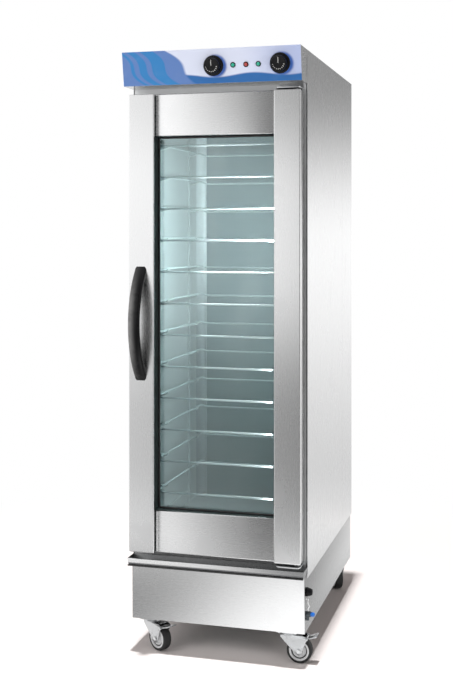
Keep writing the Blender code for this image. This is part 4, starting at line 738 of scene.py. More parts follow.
@dataclass(frozen=True)
class PrintedFilm(Finish):
    """The control panel's film: pale, with a flowing field at the left and a wavy foot."""

    name: str
    left: float
    right: float
    low: float
    high: float
    dials: tuple[float, ...]
    dial_height: float
    pale: Colour = (0.70, 0.75, 0.90)
    shade: Colour = (0.38, 0.47, 0.78)
    shade_range: Pair = (0.62, 1.02)
    shade_most: float = 0.7
    field: Colour = (0.110, 0.215, 0.500)
    field_edge: float = 0.010
    bank_wave: Wave = Wave(5.2, 0.9, 0.03)
    bank_slant: float = 0.20
    bank_place: float = 0.44
    ribbon: Colour = (0.030, 0.215, 0.520)
    ribbons: tuple[Pair, ...] = ((0.125, 0.038), (0.215, 0.022), (0.275, 0.010))
    ribbon_wave: Wave = Wave(4.0, 0.0, 0.02)
    ribbon_edge: float = 0.004
    foot: Colour = (0.020, 0.135, 0.400)
    foot_edge: float = 0.03
    foot_wave: Wave = Wave(16.0, 2.4, 0.05)
    foot_height: float = 0.225
    # painted shadow of each dial knob, cast to its right on the film
    dial_shadow: Colour = (0.004, 0.100, 0.480)
    dial_shadow_shift: Pair = (0.006, -0.001)
    dial_shadow_size: Pair = (0.036, 0.035)
    dial_shadow_range: Pair = (0.80, 1.06)
    dial_shadow_most: float = 0.92
    wear_and_shade: Colour = (0.55, 0.56, 0.62)
    worn_scale: float = 24.0
    worn_range: Pair = (0.5, 0.8)
    worn_tone: float = 0.04
    worn_gloss: float = 0.08
    skin_scale: float = 1600.0
    skin_depth: float = 0.000008
    roughness: float = 0.30
    shine: float = 0.2

    def dial_shadows(self, graph: Graph, ink: bpy.types.NodeSocket) -> bpy.types.NodeSocket:
        """Paint a dark blue shadow of each dial knob on the film, shifted to its right.

        Args:
            graph: the tree of the finish.
            ink: the colour under the painted shadows.

        Returns:
            The colour with them.
        """
        x, _, z = graph.axes()
        for dial in self.dials:
            away_x = (x - (dial + self.dial_shadow_shift[0])) / self.dial_shadow_size[0]
            away_z = (z - (self.dial_height + self.dial_shadow_shift[1])) / self.dial_shadow_size[1]
            away = (away_x * away_x + away_z * away_z) ** 0.5
            # painted shadow of the knob
            ink = graph.blend((1 - away.step(*self.dial_shadow_range)) * self.dial_shadow_most, ink, self.dial_shadow)
        return ink

    def ink(self, graph: Graph) -> bpy.types.NodeSocket:
        """Print the film: its ground, the dials' painted shadows, the foot, the field and its ribbons.

        Args:
            graph: the tree of the finish.

        Returns:
            The printed colour.
        """
        x, _, z = graph.axes()
        across = (x - self.left) / (self.right - self.left)
        up = (z - self.low) / (self.high - self.low)
        bank = up * self.bank_slant + self.bank_wave.along(up) + across - self.bank_place
        swell = self.foot_wave.along(across) + self.foot_height
        ink = graph.blend(across.step(*self.shade_range) * self.shade_most, self.pale, self.shade)
        ink = self.dial_shadows(graph, ink)
        ink = graph.blend(1 - (up - swell).step(-self.foot_edge, self.foot_edge), ink, self.foot)
        ink = graph.blend(1 - bank.step(-self.field_edge, self.field_edge), ink, self.field)
        for shift, width in self.ribbons:
            away = (bank + shift + self.ribbon_wave.along(up)).size() - width
            ink = graph.blend(1 - away.step(-self.ribbon_edge, self.ribbon_edge), ink, self.ribbon)
        return ink

    def nodes(self, graph: Graph) -> None:
        """Lay out the nodes.

        Args:
            graph: the tree that they go into.
        """
        skin = graph.noise(self.skin_scale, 1.0)
        wear_and_shade = graph.noise(self.worn_scale, 4.0).step(*self.worn_range)
        share = wear_and_shade * self.worn_tone + skin * self.worn_tone
        graph.shown_surface(
            {
                "Base Color": graph.blend(share, self.ink(graph), self.wear_and_shade),
                "Roughness": skin * self.worn_gloss + wear_and_shade * self.worn_gloss + self.roughness,
                "Specular IOR Level": self.shine,
                "Normal": graph.relief(skin, self.skin_depth),
            }
        )


@dataclass(frozen=True)
class Lens(Finish):
    """A coloured indicator lens, brighter towards its crown."""

    name: str
    colour: Colour
    deep: Colour
    glow: float = 0.15
    rim: float = 0.35
    rim_tone: float = 0.8
    pebble_scale: float = 2200.0
    pebble_depth: float = 0.00005
    pebble_tone: float = 0.2
    pebble_gloss: float = 0.06
    roughness: float = 0.12
    coat: float = 0.6
    coat_roughness: float = 0.04

    def nodes(self, graph: Graph) -> None:
        """Lay out the nodes.

        Args:
            graph: the tree that they go into.
        """
        weight = graph.node("ShaderNodeLayerWeight", None, {"Blend": self.rim})
        pebbles = graph.noise(self.pebble_scale, 1.0)
        share = Signal(graph, weight.outputs["Facing"]) * self.rim_tone + pebbles * self.pebble_tone
        shade = graph.blend(share, self.colour, self.deep)
        graph.shown_surface(
            {
                "Base Color": shade,
                "Roughness": pebbles * self.pebble_gloss + self.roughness,
                "Coat Weight": self.coat,
                "Coat Roughness": self.coat_roughness,
                "Emission Color": shade,
                "Emission Strength": self.glow,
                "Normal": graph.relief(pebbles, self.pebble_depth),
            }
        )


def choose(*things: bpy.types.Object) -> None:
    """Select these objects and no others, so that an operator meets only them.

    Args:
        things: the objects; the first one is made active.
    """
    bpy.ops.object.select_all(action="DESELECT")
    for thing in things:
        thing.select_set(True)
    if things:
        bpy.context.view_layer.objects.active = things[0]


def choose_whole() -> None:
    """Select all of the mesh that is being edited."""
    bpy.ops.mesh.select_all(action="SELECT")


def arc(middle: Pair, radius: float, start: float, end: float, steps: int) -> list[Pair]:
    """Points on part of a circle.

    Args:
        middle: its centre.
        radius: its radius.
        start: the angle of the first point, in degrees.
        end: the angle of the last point, in degrees.
        steps: how many equal parts it is cut into.

    Returns:
        The points.
    """
    turns = [math.radians(start + (end - start) * step / steps) for step in range(steps + 1)]
    return [(middle[0] + radius * math.cos(t), middle[1] + radius * math.sin(t)) for t in turns]


def scaled(shares: Profile, radius: float, height: float) -> list[Pair]:
    """A profile that is drawn in shares of a radius and a height, at its real size."""
    return [(radius * across, height * up) for across, up in shares]


def mirrored(side: Profile) -> list[Pair]:
    """One half of a profile and its mirror image below, as a closed profile."""
    return [*side, *((radius, -height) for radius, height in reversed(side))]


def at(x: float, y: float, z: float) -> Matrix:
    """The matrix that puts a piece at a place given from the cabinet's own origin."""
    return Matrix.Translation(ORIGIN + Vector((x, y, z)))


def facing(place: Point, direction: Point) -> Matrix:
    """The matrix that puts a piece at a place of the cabinet, its own Z along a direction."""
    return at(*place) @ Vector(direction).to_track_quat("Z", "Y").to_matrix().to_4x4()


def turned_on(axis: str, angle: float) -> Matrix:
    """The matrix that turns a piece on one axis of its own, by an angle in radians."""
    return Matrix.Rotation(angle, 4, axis)


class Workpiece:
    """One piece in the making: a primitive that is shaped in edit mode and then finished."""

    WELD = 0.000005
    SLIVER = 0.000001
    CAD_WELD = 0.00001
    CAD_FLAT = math.radians(0.6)

    def __init__(self, name: str, thing: Optional[bpy.types.Object] = None) -> None:
        """Take over an object.

        Args:
            name: the name that it and its mesh get.
            thing: the object, where it isn't the one that was made last.
        """
        self.thing = thing or bpy.context.active_object
        self.thing.name = name
        self.thing.data.name = name

    @classmethod
    def twin(cls, name: str, source: bpy.types.Object) -> "Workpiece":
        """Copy an object with a mesh of its own.

        Args:
            name: the copy's name.
            source: what it is copied from.

        Returns:
            The copy.
        """
        thing = bpy.data.objects.new(name, source.data.copy())
        bpy.context.scene.collection.objects.link(thing)
        return cls(name, thing)

    @classmethod
    def flat(cls, name: str, corners: Sequence[Vector], fill: str) -> "Workpiece":
        """Add a circle with one vertex for each corner, and put the vertices there.

        Args:
            name: the piece's name.
            corners: the outline, in order.
            fill: Blender's way of filling the circle.

        Returns:
            The outline.
        """
        choose()
        bpy.ops.mesh.primitive_circle_add(vertices=len(corners), radius=1.0, fill_type=fill)
        piece = cls(name)
        for vertex, corner in zip(piece.thing.data.vertices, corners):
            vertex.co = corner
        return piece

    @classmethod
    def plate(cls, name: str, outline: Sequence[Pair], depth: float) -> "Workpiece":
        """Draw an outline flat on X and Y, and extrude it up.

        Args:
            name: the piece's name.
            outline: its corners, counter-clockwise.
            depth: how far it is extruded.

        Returns:
            The plate.
        """
        piece = cls.flat(name, [Vector((x, y, 0.0)) for x, y in outline], "NGON")
        with piece.editing():
            choose_whole()
            piece.pull((0.0, 0.0, depth))
            choose_whole()
            bpy.ops.mesh.normals_make_consistent(inside=False)
        return piece

    @classmethod
    def turned(cls, name: str, outline: Sequence[Pair], sides: int) -> "Workpiece":
        """Spin a closed outline round Z.

        Args:
            name: the piece's name.
            outline: (radius, height) corners; those on the axis have radius 0.
            sides: how many flats the turned surface has.

        Returns:
            The turned piece.
        """
        corners = [Vector((radius, 0.0, height)) for radius, height in outline]
        piece = cls.flat(name, corners, "NOTHING")
        with piece.editing():
            choose_whole()
            bpy.ops.mesh.spin(steps=sides, angle=2 * math.pi, center=(0, 0, 0), axis=(0, 0, 1))
            piece.close()
        return piece

    @classmethod
    def rod(
        cls,
        name: str,
        points: Sequence[Sequence[float]],
        radius: float,
        bend: float,
        sides: int = 12,
        steps: int = 4,
        closed: bool = False,
    ) -> "Workpiece":
        """Bend a round rod: its straight lengths are extruded and its bends spun.

        Args:
            name: the piece's name.
            points: where it starts, each corner, and where it ends.
            radius: the rod's radius.
            bend: the radius of its bends.
            sides: the flats round the rod.
            steps: the parts of one bend.
            closed: whether its end is welded to its start.

        Returns:
            The rod.
        """
        path = [Vector(point) for point in points]
        ways = [(b - a).normalized() for a, b in zip(path, path[1:])]
        choose()
        bpy.ops.mesh.primitive_circle_add(
            vertices=sides,
            radius=radius,
            fill_type="NGON",
            location=path[0],
            rotation=ways[0].to_track_quat("Z", "Y").to_euler(),
        )
        piece = cls(name)
        bpy.ops.object.transform_apply(location=True, rotation=True, scale=True)
        with piece.editing():
            choose_whole()
            here = path[0]
            for corner, way, turn in zip(path[1:], ways, ways[1:] + [None]):
                angle = way.angle(turn) if turn else 0.0
                cut = bend * math.tan(angle / 2)
                stop = corner - way * cut
                piece.pull(stop - here)
                here = corner
                if turn and angle:
                    inward = (turn - way * way.dot(turn)).normalized()
                    centre = stop + inward * bend
                    bpy.ops.mesh.spin(steps=steps, angle=-angle, center=centre, axis=way.cross(turn))
                    here = corner + turn * cut
            if closed:
                bpy.ops.mesh.delete(type="FACE")
                piece.pick(lambda middle, normal: (middle - path[0]).length < radius / 2)
                bpy.ops.mesh.delete(type="FACE")
            piece.close()
        return piece

    @classmethod
    def eased(cls, name: str, node: str, edge: float) -> "Workpiece":
        """Copy a CAD node, weld it, join its flat faces and break its sharp edges.

        Args:
            name: the piece's name.
            node: the node that it is copied from.
            edge: the width of the broken edges.

        Returns:
            The copy.
        """
        piece = cls.twin(name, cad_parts[node])
        with piece.editing():
            choose_whole()
            bpy.ops.mesh.remove_doubles(threshold=cls.CAD_WELD)
            choose_whole()
            bpy.ops.mesh.dissolve_limited(angle_limit=cls.CAD_FLAT)
        return piece.bevel(edge, angle=40.0)

    @contextmanager
    def editing(self) -> Iterator[None]:
        """Edit this piece alone, by faces, with nothing selected.

        Yields:
            Nothing; the piece is back in object mode afterwards.
        """
        choose(self.thing)
        bpy.ops.object.mode_set(mode="EDIT")
        bpy.ops.mesh.select_mode(type="FACE")
        bpy.ops.mesh.select_all(action="DESELECT")
        yield
        bpy.ops.object.mode_set(mode="OBJECT")

    def pick(self, test: Callable[[Vector, Vector], bool]) -> None:
        """Select the faces that pass a test, and only those.

        Args:
            test: says yes or no to a face, from its middle and its normal.
        """
        work = bmesh.from_edit_mesh(self.thing.data)
        for face in work.faces:
            face.select_set(False)
        for face in work.faces:
            if test(face.calc_center_median(), face.normal):
                face.select_set(True)
        bmesh.update_edit_mesh(self.thing.data)

    @staticmethod
    def pull(offset: Sequence[float]) -> None:
        """Extrude what is selected."""
        bpy.ops.mesh.extrude_region_move(TRANSFORM_OT_translate={"value": tuple(offset)})

    @classmethod
    def close(cls) -> None:
        """Weld seams and poles, drop loose bits, and turn all the faces outwards."""
        choose_whole()
        bpy.ops.mesh.remove_doubles(threshold=cls.WELD)
        choose_whole()
        bpy.ops.mesh.dissolve_degenerate(threshold=cls.SLIVER)
        choose_whole()
        bpy.ops.mesh.delete_loose(use_verts=True, use_edges=True, use_faces=False)
        choose_whole()
        bpy.ops.mesh.normals_make_consistent(inside=False)

    def bevel(self, width: float, segments: int = 2, angle: float = 35.0) -> "Workpiece":
        """Round the sharp edges.

        Args:
            width: how wide the rounding is.
            segments: how many strips it has.
            angle: the angle in degrees from which an edge is sharp.

        Returns:
            The piece itself.
        """
        choose(self.thing)
        modifier = self.thing.modifiers.new("edges", "BEVEL")
        modifier.width = width
        modifier.segments = segments
        modifier.limit_method = "ANGLE"
        modifier.angle_limit = math.radians(angle)
        modifier.use_clamp_overlap = True
        modifier.harden_normals = False
        bpy.ops.object.modifier_apply(modifier=modifier.name)
        return self

    def placed(self, matrix: Matrix) -> "Workpiece":
        """Move the mesh, so that its object stays at the origin.

        Args:
            matrix: where it goes.

        Returns:
            The piece itself.
        """
        self.thing.data.transform(matrix)
        self.thing.data.update()
        return self

    def copy(self, name: str, matrix: Matrix) -> "Workpiece":
        """A copy with its own mesh, moved by a matrix."""
        return Workpiece.twin(name, self.thing).placed(matrix)

    @classmethod
    def joined(cls, name: str, pieces: Sequence["Workpiece"]) -> "Workpiece":
        """Join pieces to one.

        Args:
            name: what it is called.
            pieces: what it is joined from.

        Returns:
            The joined piece.
        """
        choose(*(piece.thing for piece in pieces))
        bpy.ops.object.join()
        return cls(name)

    def spread(self, name: str, places: Sequence[Matrix]) -> "Workpiece":
        """Put a copy at each place, joined to one piece, and drop the pattern.

        Args:
            name: the joined piece's name.
            places: one matrix for each copy.

        Returns:
            The joined copies.
        """
        copies = [self.copy(f"{name}_{number}", place) for number, place in enumerate(places)]
        self.drop()
        return Workpiece.joined(name, copies)

    def drop(self) -> None:
        """Remove a pattern that was only copied."""
        bpy.data.objects.remove(self.thing)

    def done(
        self, finish: Finish, body: str, slot: str, *stands_for: str, smooth: float = 35.0
    ) -> None:
        """Shade, dress and attach the finished piece.

        Args:
            finish: what it wears.
            body: the CAD body that it rides on.
            slot: not used.
            stands_for: the CAD nodes that it replaces.
            smooth: edges flatter than this many degrees look smooth.
        """
        choose(self.thing)
        bpy.ops.object.shade_smooth_by_angle(angle=math.radians(smooth))
        choose()
        finish.dress(self.thing)
        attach(self.thing, body)
        if stands_for:
            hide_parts(*stands_for)
        LOG.info("%s rides on %s, %d faces", self.thing.name, body, len(self.thing.data.polygons))


@dataclass(frozen=True)
class PanScrew:
    """A small screw with a domed head and a round socket in it, its seat at Z = 0.

    The dome and the socket are drawn in shares of their radius and of the head's height.
    """

    radius: float = 0.0032
    height: float = 0.0018
    dome: Profile = ((0.0, 0.0), (1.0, 0.0), (0.97, 0.45), (0.70, 0.90))
    socket_radius: float = 0.0014
    socket: Profile = ((1.0, 1.0), (0.9, 0.4), (0.0, 0.4))
    sides: int = 16

    def made(self) -> Workpiece:
        """Model one.

        Returns:
            The screw.
        """
        dome = scaled(self.dome, self.radius, self.height)
        socket = scaled(self.socket, self.socket_radius, self.height)
        return Workpiece.turned("screw", dome + socket, self.sides)


@dataclass(frozen=True)
class HexHead:
    """A hexagonal bolt head or nut with a turned washer face, its seat at Z = 0.

    The face and the dimple are an inset and a rise, as shares of the radius and the height.
    """

    radius: float
    height: float
    corners: int = 6
    face: Pair = (0.16, 0.12)
    dimple: Pair = (0.34, -0.2)
    edge: float = 0.05
    level: float = 0.9

    def made(self) -> Workpiece:
        """Model one: the hexagon, a raised round face on it, and a sunk middle.

        Returns:
            The head.
        """
        outline = arc((0.0, 0.0), self.radius, 0, 360, self.corners)[:-1]
        head = Workpiece.plate("hex", outline, self.height)
        with head.editing():
            head.pick(lambda middle, normal: normal.z > self.level)
            for inset, rise in (self.face, self.dimple):
                bpy.ops.mesh.inset(thickness=self.radius * inset, depth=self.height * rise)
        return head.bevel(self.radius * self.edge, 1, 50.0)


@dataclass
class CabinetBody:
    """The sheet skins round the insulation, and the brackets that carry the door."""

    pivot: Pair = (0.2466, -0.037)
    bracket_edge: float = 0.0004
    pin_radius: float = 0.0062
    pin_height: float = 0.0018
    pin_head: Profile = ((0.0, 0.0), (1.0, 0.0), (1.0, 0.3), (0.6, 1.0), (0.0, 1.0))
    pin_sides: int = 32
    pin_edge: float = 0.0003
    upper_plate_top: float = 1.6875
    screw_heights: Pair = (1.6937, 0.2909)
    screw_steps: Triple = (-0.050, -0.024, 0.002)
    flange_face: float = -0.0033

    def build(self) -> None:
        """Dress the skins and build the finer brackets and their screws."""
        SATIN.dress("left_side_panel", "right_side_panel", "rear_cover")
        SATIN_ACROSS.dress("roof_panel")
        WOOL.dress("insulation_jacket")
        for side in ("upper", "lower"):
            node = f"{side}_hinge_bracket"
            bracket = Workpiece.eased(f"{side}_hinge", node, self.bracket_edge)
            bracket.done(ZINC, "cabinet", "zinc_steel", node)
        self.screws()
        self.pin()

    def screws(self) -> None:
        """Drive three screws through each bracket's flange."""
        places = [
            facing((self.pivot[0] + step, self.flange_face, height), (0, -1, 0))
            for height in self.screw_heights
            for step in self.screw_steps
        ]
        PanScrew().made().spread("hinge_screws", places).done(ZINC, "cabinet", "zinc_steel")

    def pin(self) -> None:
        """Rivet the head of the upper hinge pin."""
        outline = scaled(self.pin_head, self.pin_radius, self.pin_height)
        head = Workpiece.turned("hinge_pin_head", outline, self.pin_sides).bevel(self.pin_edge)
        head.placed(at(*self.pivot, self.upper_plate_top)).done(ZINC, "cabinet", "zinc_steel")


@dataclass
class ControlBox:
    """The slanted box over the door, with its printed film, lamps and dial knobs.

    The marks' turns are the first one's angle and the sweep to the last, in degrees. Their length
    and width are the first one's factor, and what the last one has more.
    """

    face: Point = (0.0, -0.0905, 1.7505)
    tilt: float = math.atan2(0.017, 0.099)
    row: float = 0.0006
    knobs: tuple[tuple[str, float], ...] = (("left", 0.010), ("right", 0.209))
    lamps: tuple[tuple[str, float], ...] = (("left", 0.069), ("middle", 0.108), ("right", 0.145))
    dial_stem: Profile = ((0.0, -0.016), (0.003, -0.016), (0.003, 0.0003))
    dial_skirt: Profile = ((0.030, 0.0003), (0.030, 0.0022), (0.028, 0.004))
    dial_side: Profile = ((0.024, 0.004), (0.0225, 0.0242), (0.0207, 0.026))
    dial_dish: Profile = ((0.0193, 0.026), (0.0183, 0.0254), (0.0, 0.0254))
    dial_edge: float = 0.00035
    grooves: int = 60
    groove_ends: Pair = (0.004, 0.024)
    groove_slope: float = 0.3
    groove_inset: float = 0.00012
    groove_depth: float = 0.0005
    dish_level: float = 0.0254
    mark: Profile = ((-0.0014, -0.0006), (0.0016, -0.0009), (0.0016, 0.0009), (-0.0014, 0.0006))
    mark_height: float = 0.00025
    mark_count: int = 9
    mark_ring: float = 0.0163
    mark_turns: Pair = (190.0, 160.0)
    mark_length: Pair = (0.8, 0.4)
    mark_width: Pair = (0.8, 0.6)
    pointer: Profile = ((-0.0008, 0.0010), (0.0008, 0.0010), (0.0006, 0.0178), (-0.0006, 0.0178))
    pointer_height: float = 0.0012
    bezel_foot: Profile = ((0.0057, 0.0003), (0.008, 0.0003), (0.008, 0.0012))
    bezel_top: Profile = ((0.0072, 0.002), (0.0063, 0.002), (0.0057, 0.0014))
    bezel_sides: int = 40
    fine_edge: float = 0.0002
    lens_barrel: Profile = ((0.0, -0.016), (0.0055, -0.016))
    lens_low: float = 0.002
    lens_radius: float = 0.0055
    lens_height: float = 0.005
    lens_rings: int = 6
    lens_sides: int = 32

    def on_face(self, x: float) -> Matrix:
        """The matrix of a fitting in the row: Z out of the slanted face, Y up along it."""
        tilted = at(*self.face) @ turned_on("X", QUARTER_TURN + self.tilt)
        return tilted @ Matrix.Translation((x, self.row, 0.0))

    def build(self) -> None:
        """Dress the box and its film, and build the lamps and knobs."""
        SATIN_ACROSS.dress("control_housing")
        low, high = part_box("control_fascia")
        dials = tuple(x + ORIGIN.x for _, x in self.knobs)
        film = PrintedFilm("control_film", low.x, high.x, low.z, high.z, dials, self.face[2])
        film.dress("control_fascia")
        dial, marks = self.dial(), self.marks()
        for side, x in self.knobs:
            body, place = f"knob_{side}", self.on_face(x)
            dial.copy(f"dial_{side}", place).done(BLACK, body, "black_plastic", body)
            marks.copy(f"dial_marks_{side}", place).done(WHITE_PRINT, body, "printed_fascia")
        bezel, lens = self.bezel(), self.lens()
        for side, x in self.lamps:
            node, place = f"lamp_{side}", self.on_face(x)
            finish, slot = (RED, "red_lens") if side == "middle" else (GREEN, "green_lens")
            bezel.copy(f"lamp_bezel_{side}", place).done(BLACK, "cabinet", "black_plastic")
            lens.copy(f"lamp_lens_{side}", place).done(finish, "cabinet", slot, node)
        for pattern in (dial, marks, bezel, lens):
            pattern.drop()

    def dial(self) -> Workpiece:
        """Model a dial knob: skirt, grooved side, and a shallow dish in its face.

        Returns:
            The knob, its seat at Z = 0.
        """
        outline = self.dial_stem + self.dial_skirt + self.dial_side + self.dial_dish
        knob = Workpiece.turned("dial", outline, 2 * self.grooves)
        step = math.pi / self.grooves
        low, high = self.groove_ends

        def between(middle: Vector, normal: Vector) -> bool:
            """Say whether a face is one of every other flat of the grip's side.

            Args:
                middle: the face's middle.
                normal: the face's normal.

            Returns:
                Whether it is.
            """
            number = round(math.atan2(middle.y, middle.x) / step - 0.5)
            on_side = abs(normal.z) < self.groove_slope and low < middle.z < high
            return on_side and number % 2 == 0

        with knob.editing():
            knob.pick(between)
            bpy.ops.mesh.inset(
                thickness=self.groove_inset, depth=-self.groove_depth, use_individual=True
            )
        return knob.bevel(self.dial_edge, angle=30.0)

    def mark_place(self, number: int) -> Matrix:
        """Place one of the marks in its ring, longer and broader towards the ring's end.

        Args:
            number: which one it is, from 0.

        Returns:
            Its matrix on the knob.
        """
        share = number / (self.mark_count - 1)
        start, sweep = self.mark_turns
        length, width = (least + more * share for least, more in (self.mark_length, self.mark_width))
        turn = turned_on("Z", math.radians(start + sweep * share))
        out = Matrix.Translation((self.mark_ring, 0, 0)) @ Matrix.Diagonal((length, width, 1.0, 1.0))
        return Matrix.Translation((0, 0, self.dish_level)) @ turn @ out

    def marks(self) -> Workpiece:
        """Model the ring of short marks on the knob's face, and the pointer.

        Returns:
            The marks, joined.
        """
        mark = Workpiece.plate("mark", self.mark, self.mark_height)
        ring = mark.spread("marks", [self.mark_place(number) for number in range(self.mark_count)])
        pointer = Workpiece.plate("pointer", self.pointer, self.pointer_height).bevel(self.fine_edge)
        pointer.placed(Matrix.Translation((0, 0, self.dish_level)))
        return Workpiece.joined("marks", (ring, pointer))

    def bezel(self) -> Workpiece:
        """The black ring round a lamp."""
        ring = Workpiece.turned("bezel", self.bezel_foot + self.bezel_top, self.bezel_sides)
        return ring.bevel(self.fine_edge)

    def lens(self) -> Workpiece:
        """Model a domed lens on its barrel.

        Returns:
            The lens.
        """
        radius, height, low = self.lens_radius, self.lens_height, self.lens_low
        turns = [QUARTER_TURN * ring / self.lens_rings for ring in range(self.lens_rings)]
        dome = [(radius * math.cos(turn), low + height * math.sin(turn)) for turn in turns]
        outline = [*self.lens_barrel, *dome, (0.0, low + height)]
        return Workpiece.turned("lens", outline, self.lens_sides)


@dataclass(frozen=True)
class Bow:
    """A circular arc that bulges towards -X over a chord along Y."""

    seat: float
    half_chord: float
    rise: float

    @property
    def radius(self) -> float:
        """The arc's radius, from half its chord and its rise."""
        return (self.half_chord ** 2 + self.rise ** 2) / (2 * self.rise)

    @property
    def middle(self) -> float:
        """The X of the arc's centre."""
        return self.seat - self.rise + self.radius

    def points(self, steps: int) -> list[Pair]:
        """Points along the arc, counter-clockwise."""
        half = math.degrees(math.asin(self.half_chord / self.radius))
        return arc((self.middle, 0.0), self.radius, 180 - half, 180 + half, steps)


@dataclass
class BowHandle:
    """The black bow handle on the latch stile."""

    x: float = -0.2247
    width: float = 0.0346
    middle: float = 0.993
    length: float = 0.341
    rise: float = 0.070
    thickness: float = 0.017
    pad: float = 0.034
    seat: float = -0.0633
    stations: int = 16
    outer_steps: int = 48
    inner_steps: int = 40
    on_arc: float = 0.0001
    crown: float = 0.0085
    crown_limit: float = 0.8
    hollow: float = 0.0030
    hollow_reach: float = 0.01
    tip: float = 0.020
    tip_taper: float = 0.26
    tip_power: int = 5
    edge: float = 0.0008
    colour: Colour = (0.0035, 0.0035, 0.004)
    roughness: float = 0.26
    shine: float = 0.17

    def build(self) -> None:
        """Extrude one outline of two arcs and two pads, and crown and round it."""
        outer = Bow(self.seat, self.length / 2, self.rise)
        inner = Bow(self.seat, self.length / 2 - self.pad, self.rise - self.thickness)
        corners = outer.points(self.outer_steps) + inner.points(self.inner_steps)[::-1]
        handle = Workpiece.flat("bow_handle", [Vector((x, y, 0.0)) for x, y in corners], "NGON")
        cuts = [1 - math.cos(math.pi * cut / self.stations) for cut in range(self.stations + 1)]
        with handle.editing():
            choose_whole()
            for before, after in zip(cuts, cuts[1:]):
                handle.pull((0.0, 0.0, (after - before) * self.width / 2))
            handle.close()
        self.swell(handle, outer)
        # the outline's X is the depth and its Y the height, so the plate is stood on its edge
        stand = Matrix(((0, 0, 1, 0), (1, 0, 0, 0), (0, 1, 0, 0), (0, 0, 0, 1)))
        side = self.x - self.width / 2
        handle.placed(at(side, 0.0, self.middle) @ stand).bevel(self.edge, angle=50.0)
        # the handle's plastic carries a painted highlight along its left side
        grip = GripPlastic(
            "handle_plastic",
            self.colour,
            self.roughness,
            shine=self.shine,
            side=ORIGIN.x + side,
            middle=self.middle,
        )
        handle.done(grip, "door", "black_plastic", "door_handle", smooth=50.0)

    def swell(self, handle: Workpiece, outer: Bow) -> None:
        """Crown the outer face, hollow the inner one and draw in the tips.

        Args:
            handle: the extruded handle, its width along Z.
            outer: the arc of its outer face.
        """
        half = self.width / 2
        for vertex in handle.thing.data.vertices:
            point = vertex.co
            share = abs(point.z - half) / half
            drop = 1.0 - math.sqrt(max(0.0, 1.0 - share * share))
            lift = self.seat - point.x
            if abs(math.hypot(point.x - outer.middle, point.y) - outer.radius) < self.on_arc:
                point.x += min(drop * self.crown, lift * self.crown_limit)
            else:
                point.x -= drop * self.hollow * min(1.0, lift / self.hollow_reach)
            tip = max(0.0, (abs(point.y) - (outer.half_chord - self.tip)) / self.tip)
            point.z += (half - point.z) * self.tip_taper * tip ** self.tip_power


@dataclass
class Door:
    """The glazed door on its pins: stiles, rails, black core, pane, inner skin, seal and handle.

    Each rail has the crown and the lean of its sheet. The two folded edges are given by their
    distance from the door's middle, their front and their back.
    """

    rails: tuple[tuple[str, float, float], ...] = (("top", 0.66, 0.0), ("bottom", 0.80, 0.07))
    window_half: float = 0.1836
    window_low: float = 0.433
    window_high: float = 1.553
    glass_face: float = -0.0142
    bead_radius: float = 0.0032
    bead_lap: float = 0.7
    bead_bend: float = 0.006
    bead_sides: int = 10
    edge_low: float = 0.309
    edge_high: float = 1.677
    edge_sheet: float = 0.0008
    edge_round: float = 0.00025
    side_edge: Triple = (0.2613, -0.0555, -0.0130)
    stile_return: Triple = (0.1846, -0.0575, -0.0520)

    def build(self) -> None:
        """Dress the skins and the pane, and build the handle, the bead and the folded edges."""
        SATIN.dress("door_latch_stile", "door_hinge_stile")
        for rail, crown, lean in self.rails:
            steel = BrushedSteel(
                f"{rail}_rail_steel", brushed=Brushed.ACROSS, crown=crown, middle=ORIGIN.x, lean=lean
            )
            steel.dress(f"door_{rail}_rail")
        LINER_ACROSS.dress("door_inner_skin")
        FRAME_BLACK.dress("door_core")
        SEAL.dress("door_seal")
        PANE.dress("door_glass")
        BowHandle().build()
        self.bead()
        self.edges("door_edges", *self.side_edge)
        self.edges("stile_returns", *self.stile_return)

    def edges(self, name: str, x: float, front: float, back: float) -> None:
        """Add two folded steel edges, one on each side of the door's middle.

        Args:
            name: what the pair is called.
            x: how far from the middle each one lies.
            front: where they start, in depth.
            back: where they end, in depth.
        """
        sheet, low = self.edge_sheet, self.edge_low
        outline = [(0.0, front), (sheet, front), (sheet, back), (0.0, back)]
        strip = Workpiece.plate("edge", outline, self.edge_high - low).bevel(self.edge_round)
        places = [at(side * x - sheet / 2, 0.0, low) for side in (1, -1)]
        strip.spread(name, places).done(SATIN, "door", "stainless")

    def bead(self) -> None:
        """Run the rubber bead that presses on the pane all round the window."""
        lap = self.bead_radius * self.bead_lap
        reach = self.window_half - lap
        low, high = self.window_low + lap, self.window_high - lap
        y = self.glass_face - self.bead_radius
        corners = [(0, low), (reach, low), (reach, high), (-reach, high), (-reach, low), (0, low)]
        points = [ORIGIN + Vector((x, y, z)) for x, z in corners]
        bead = Workpiece.rod(
            "glass_bead", points, self.bead_radius, self.bead_bend, self.bead_sides, closed=True
        )
        bead.done(SEAL, "door", "seal_rubber", smooth=60.0)


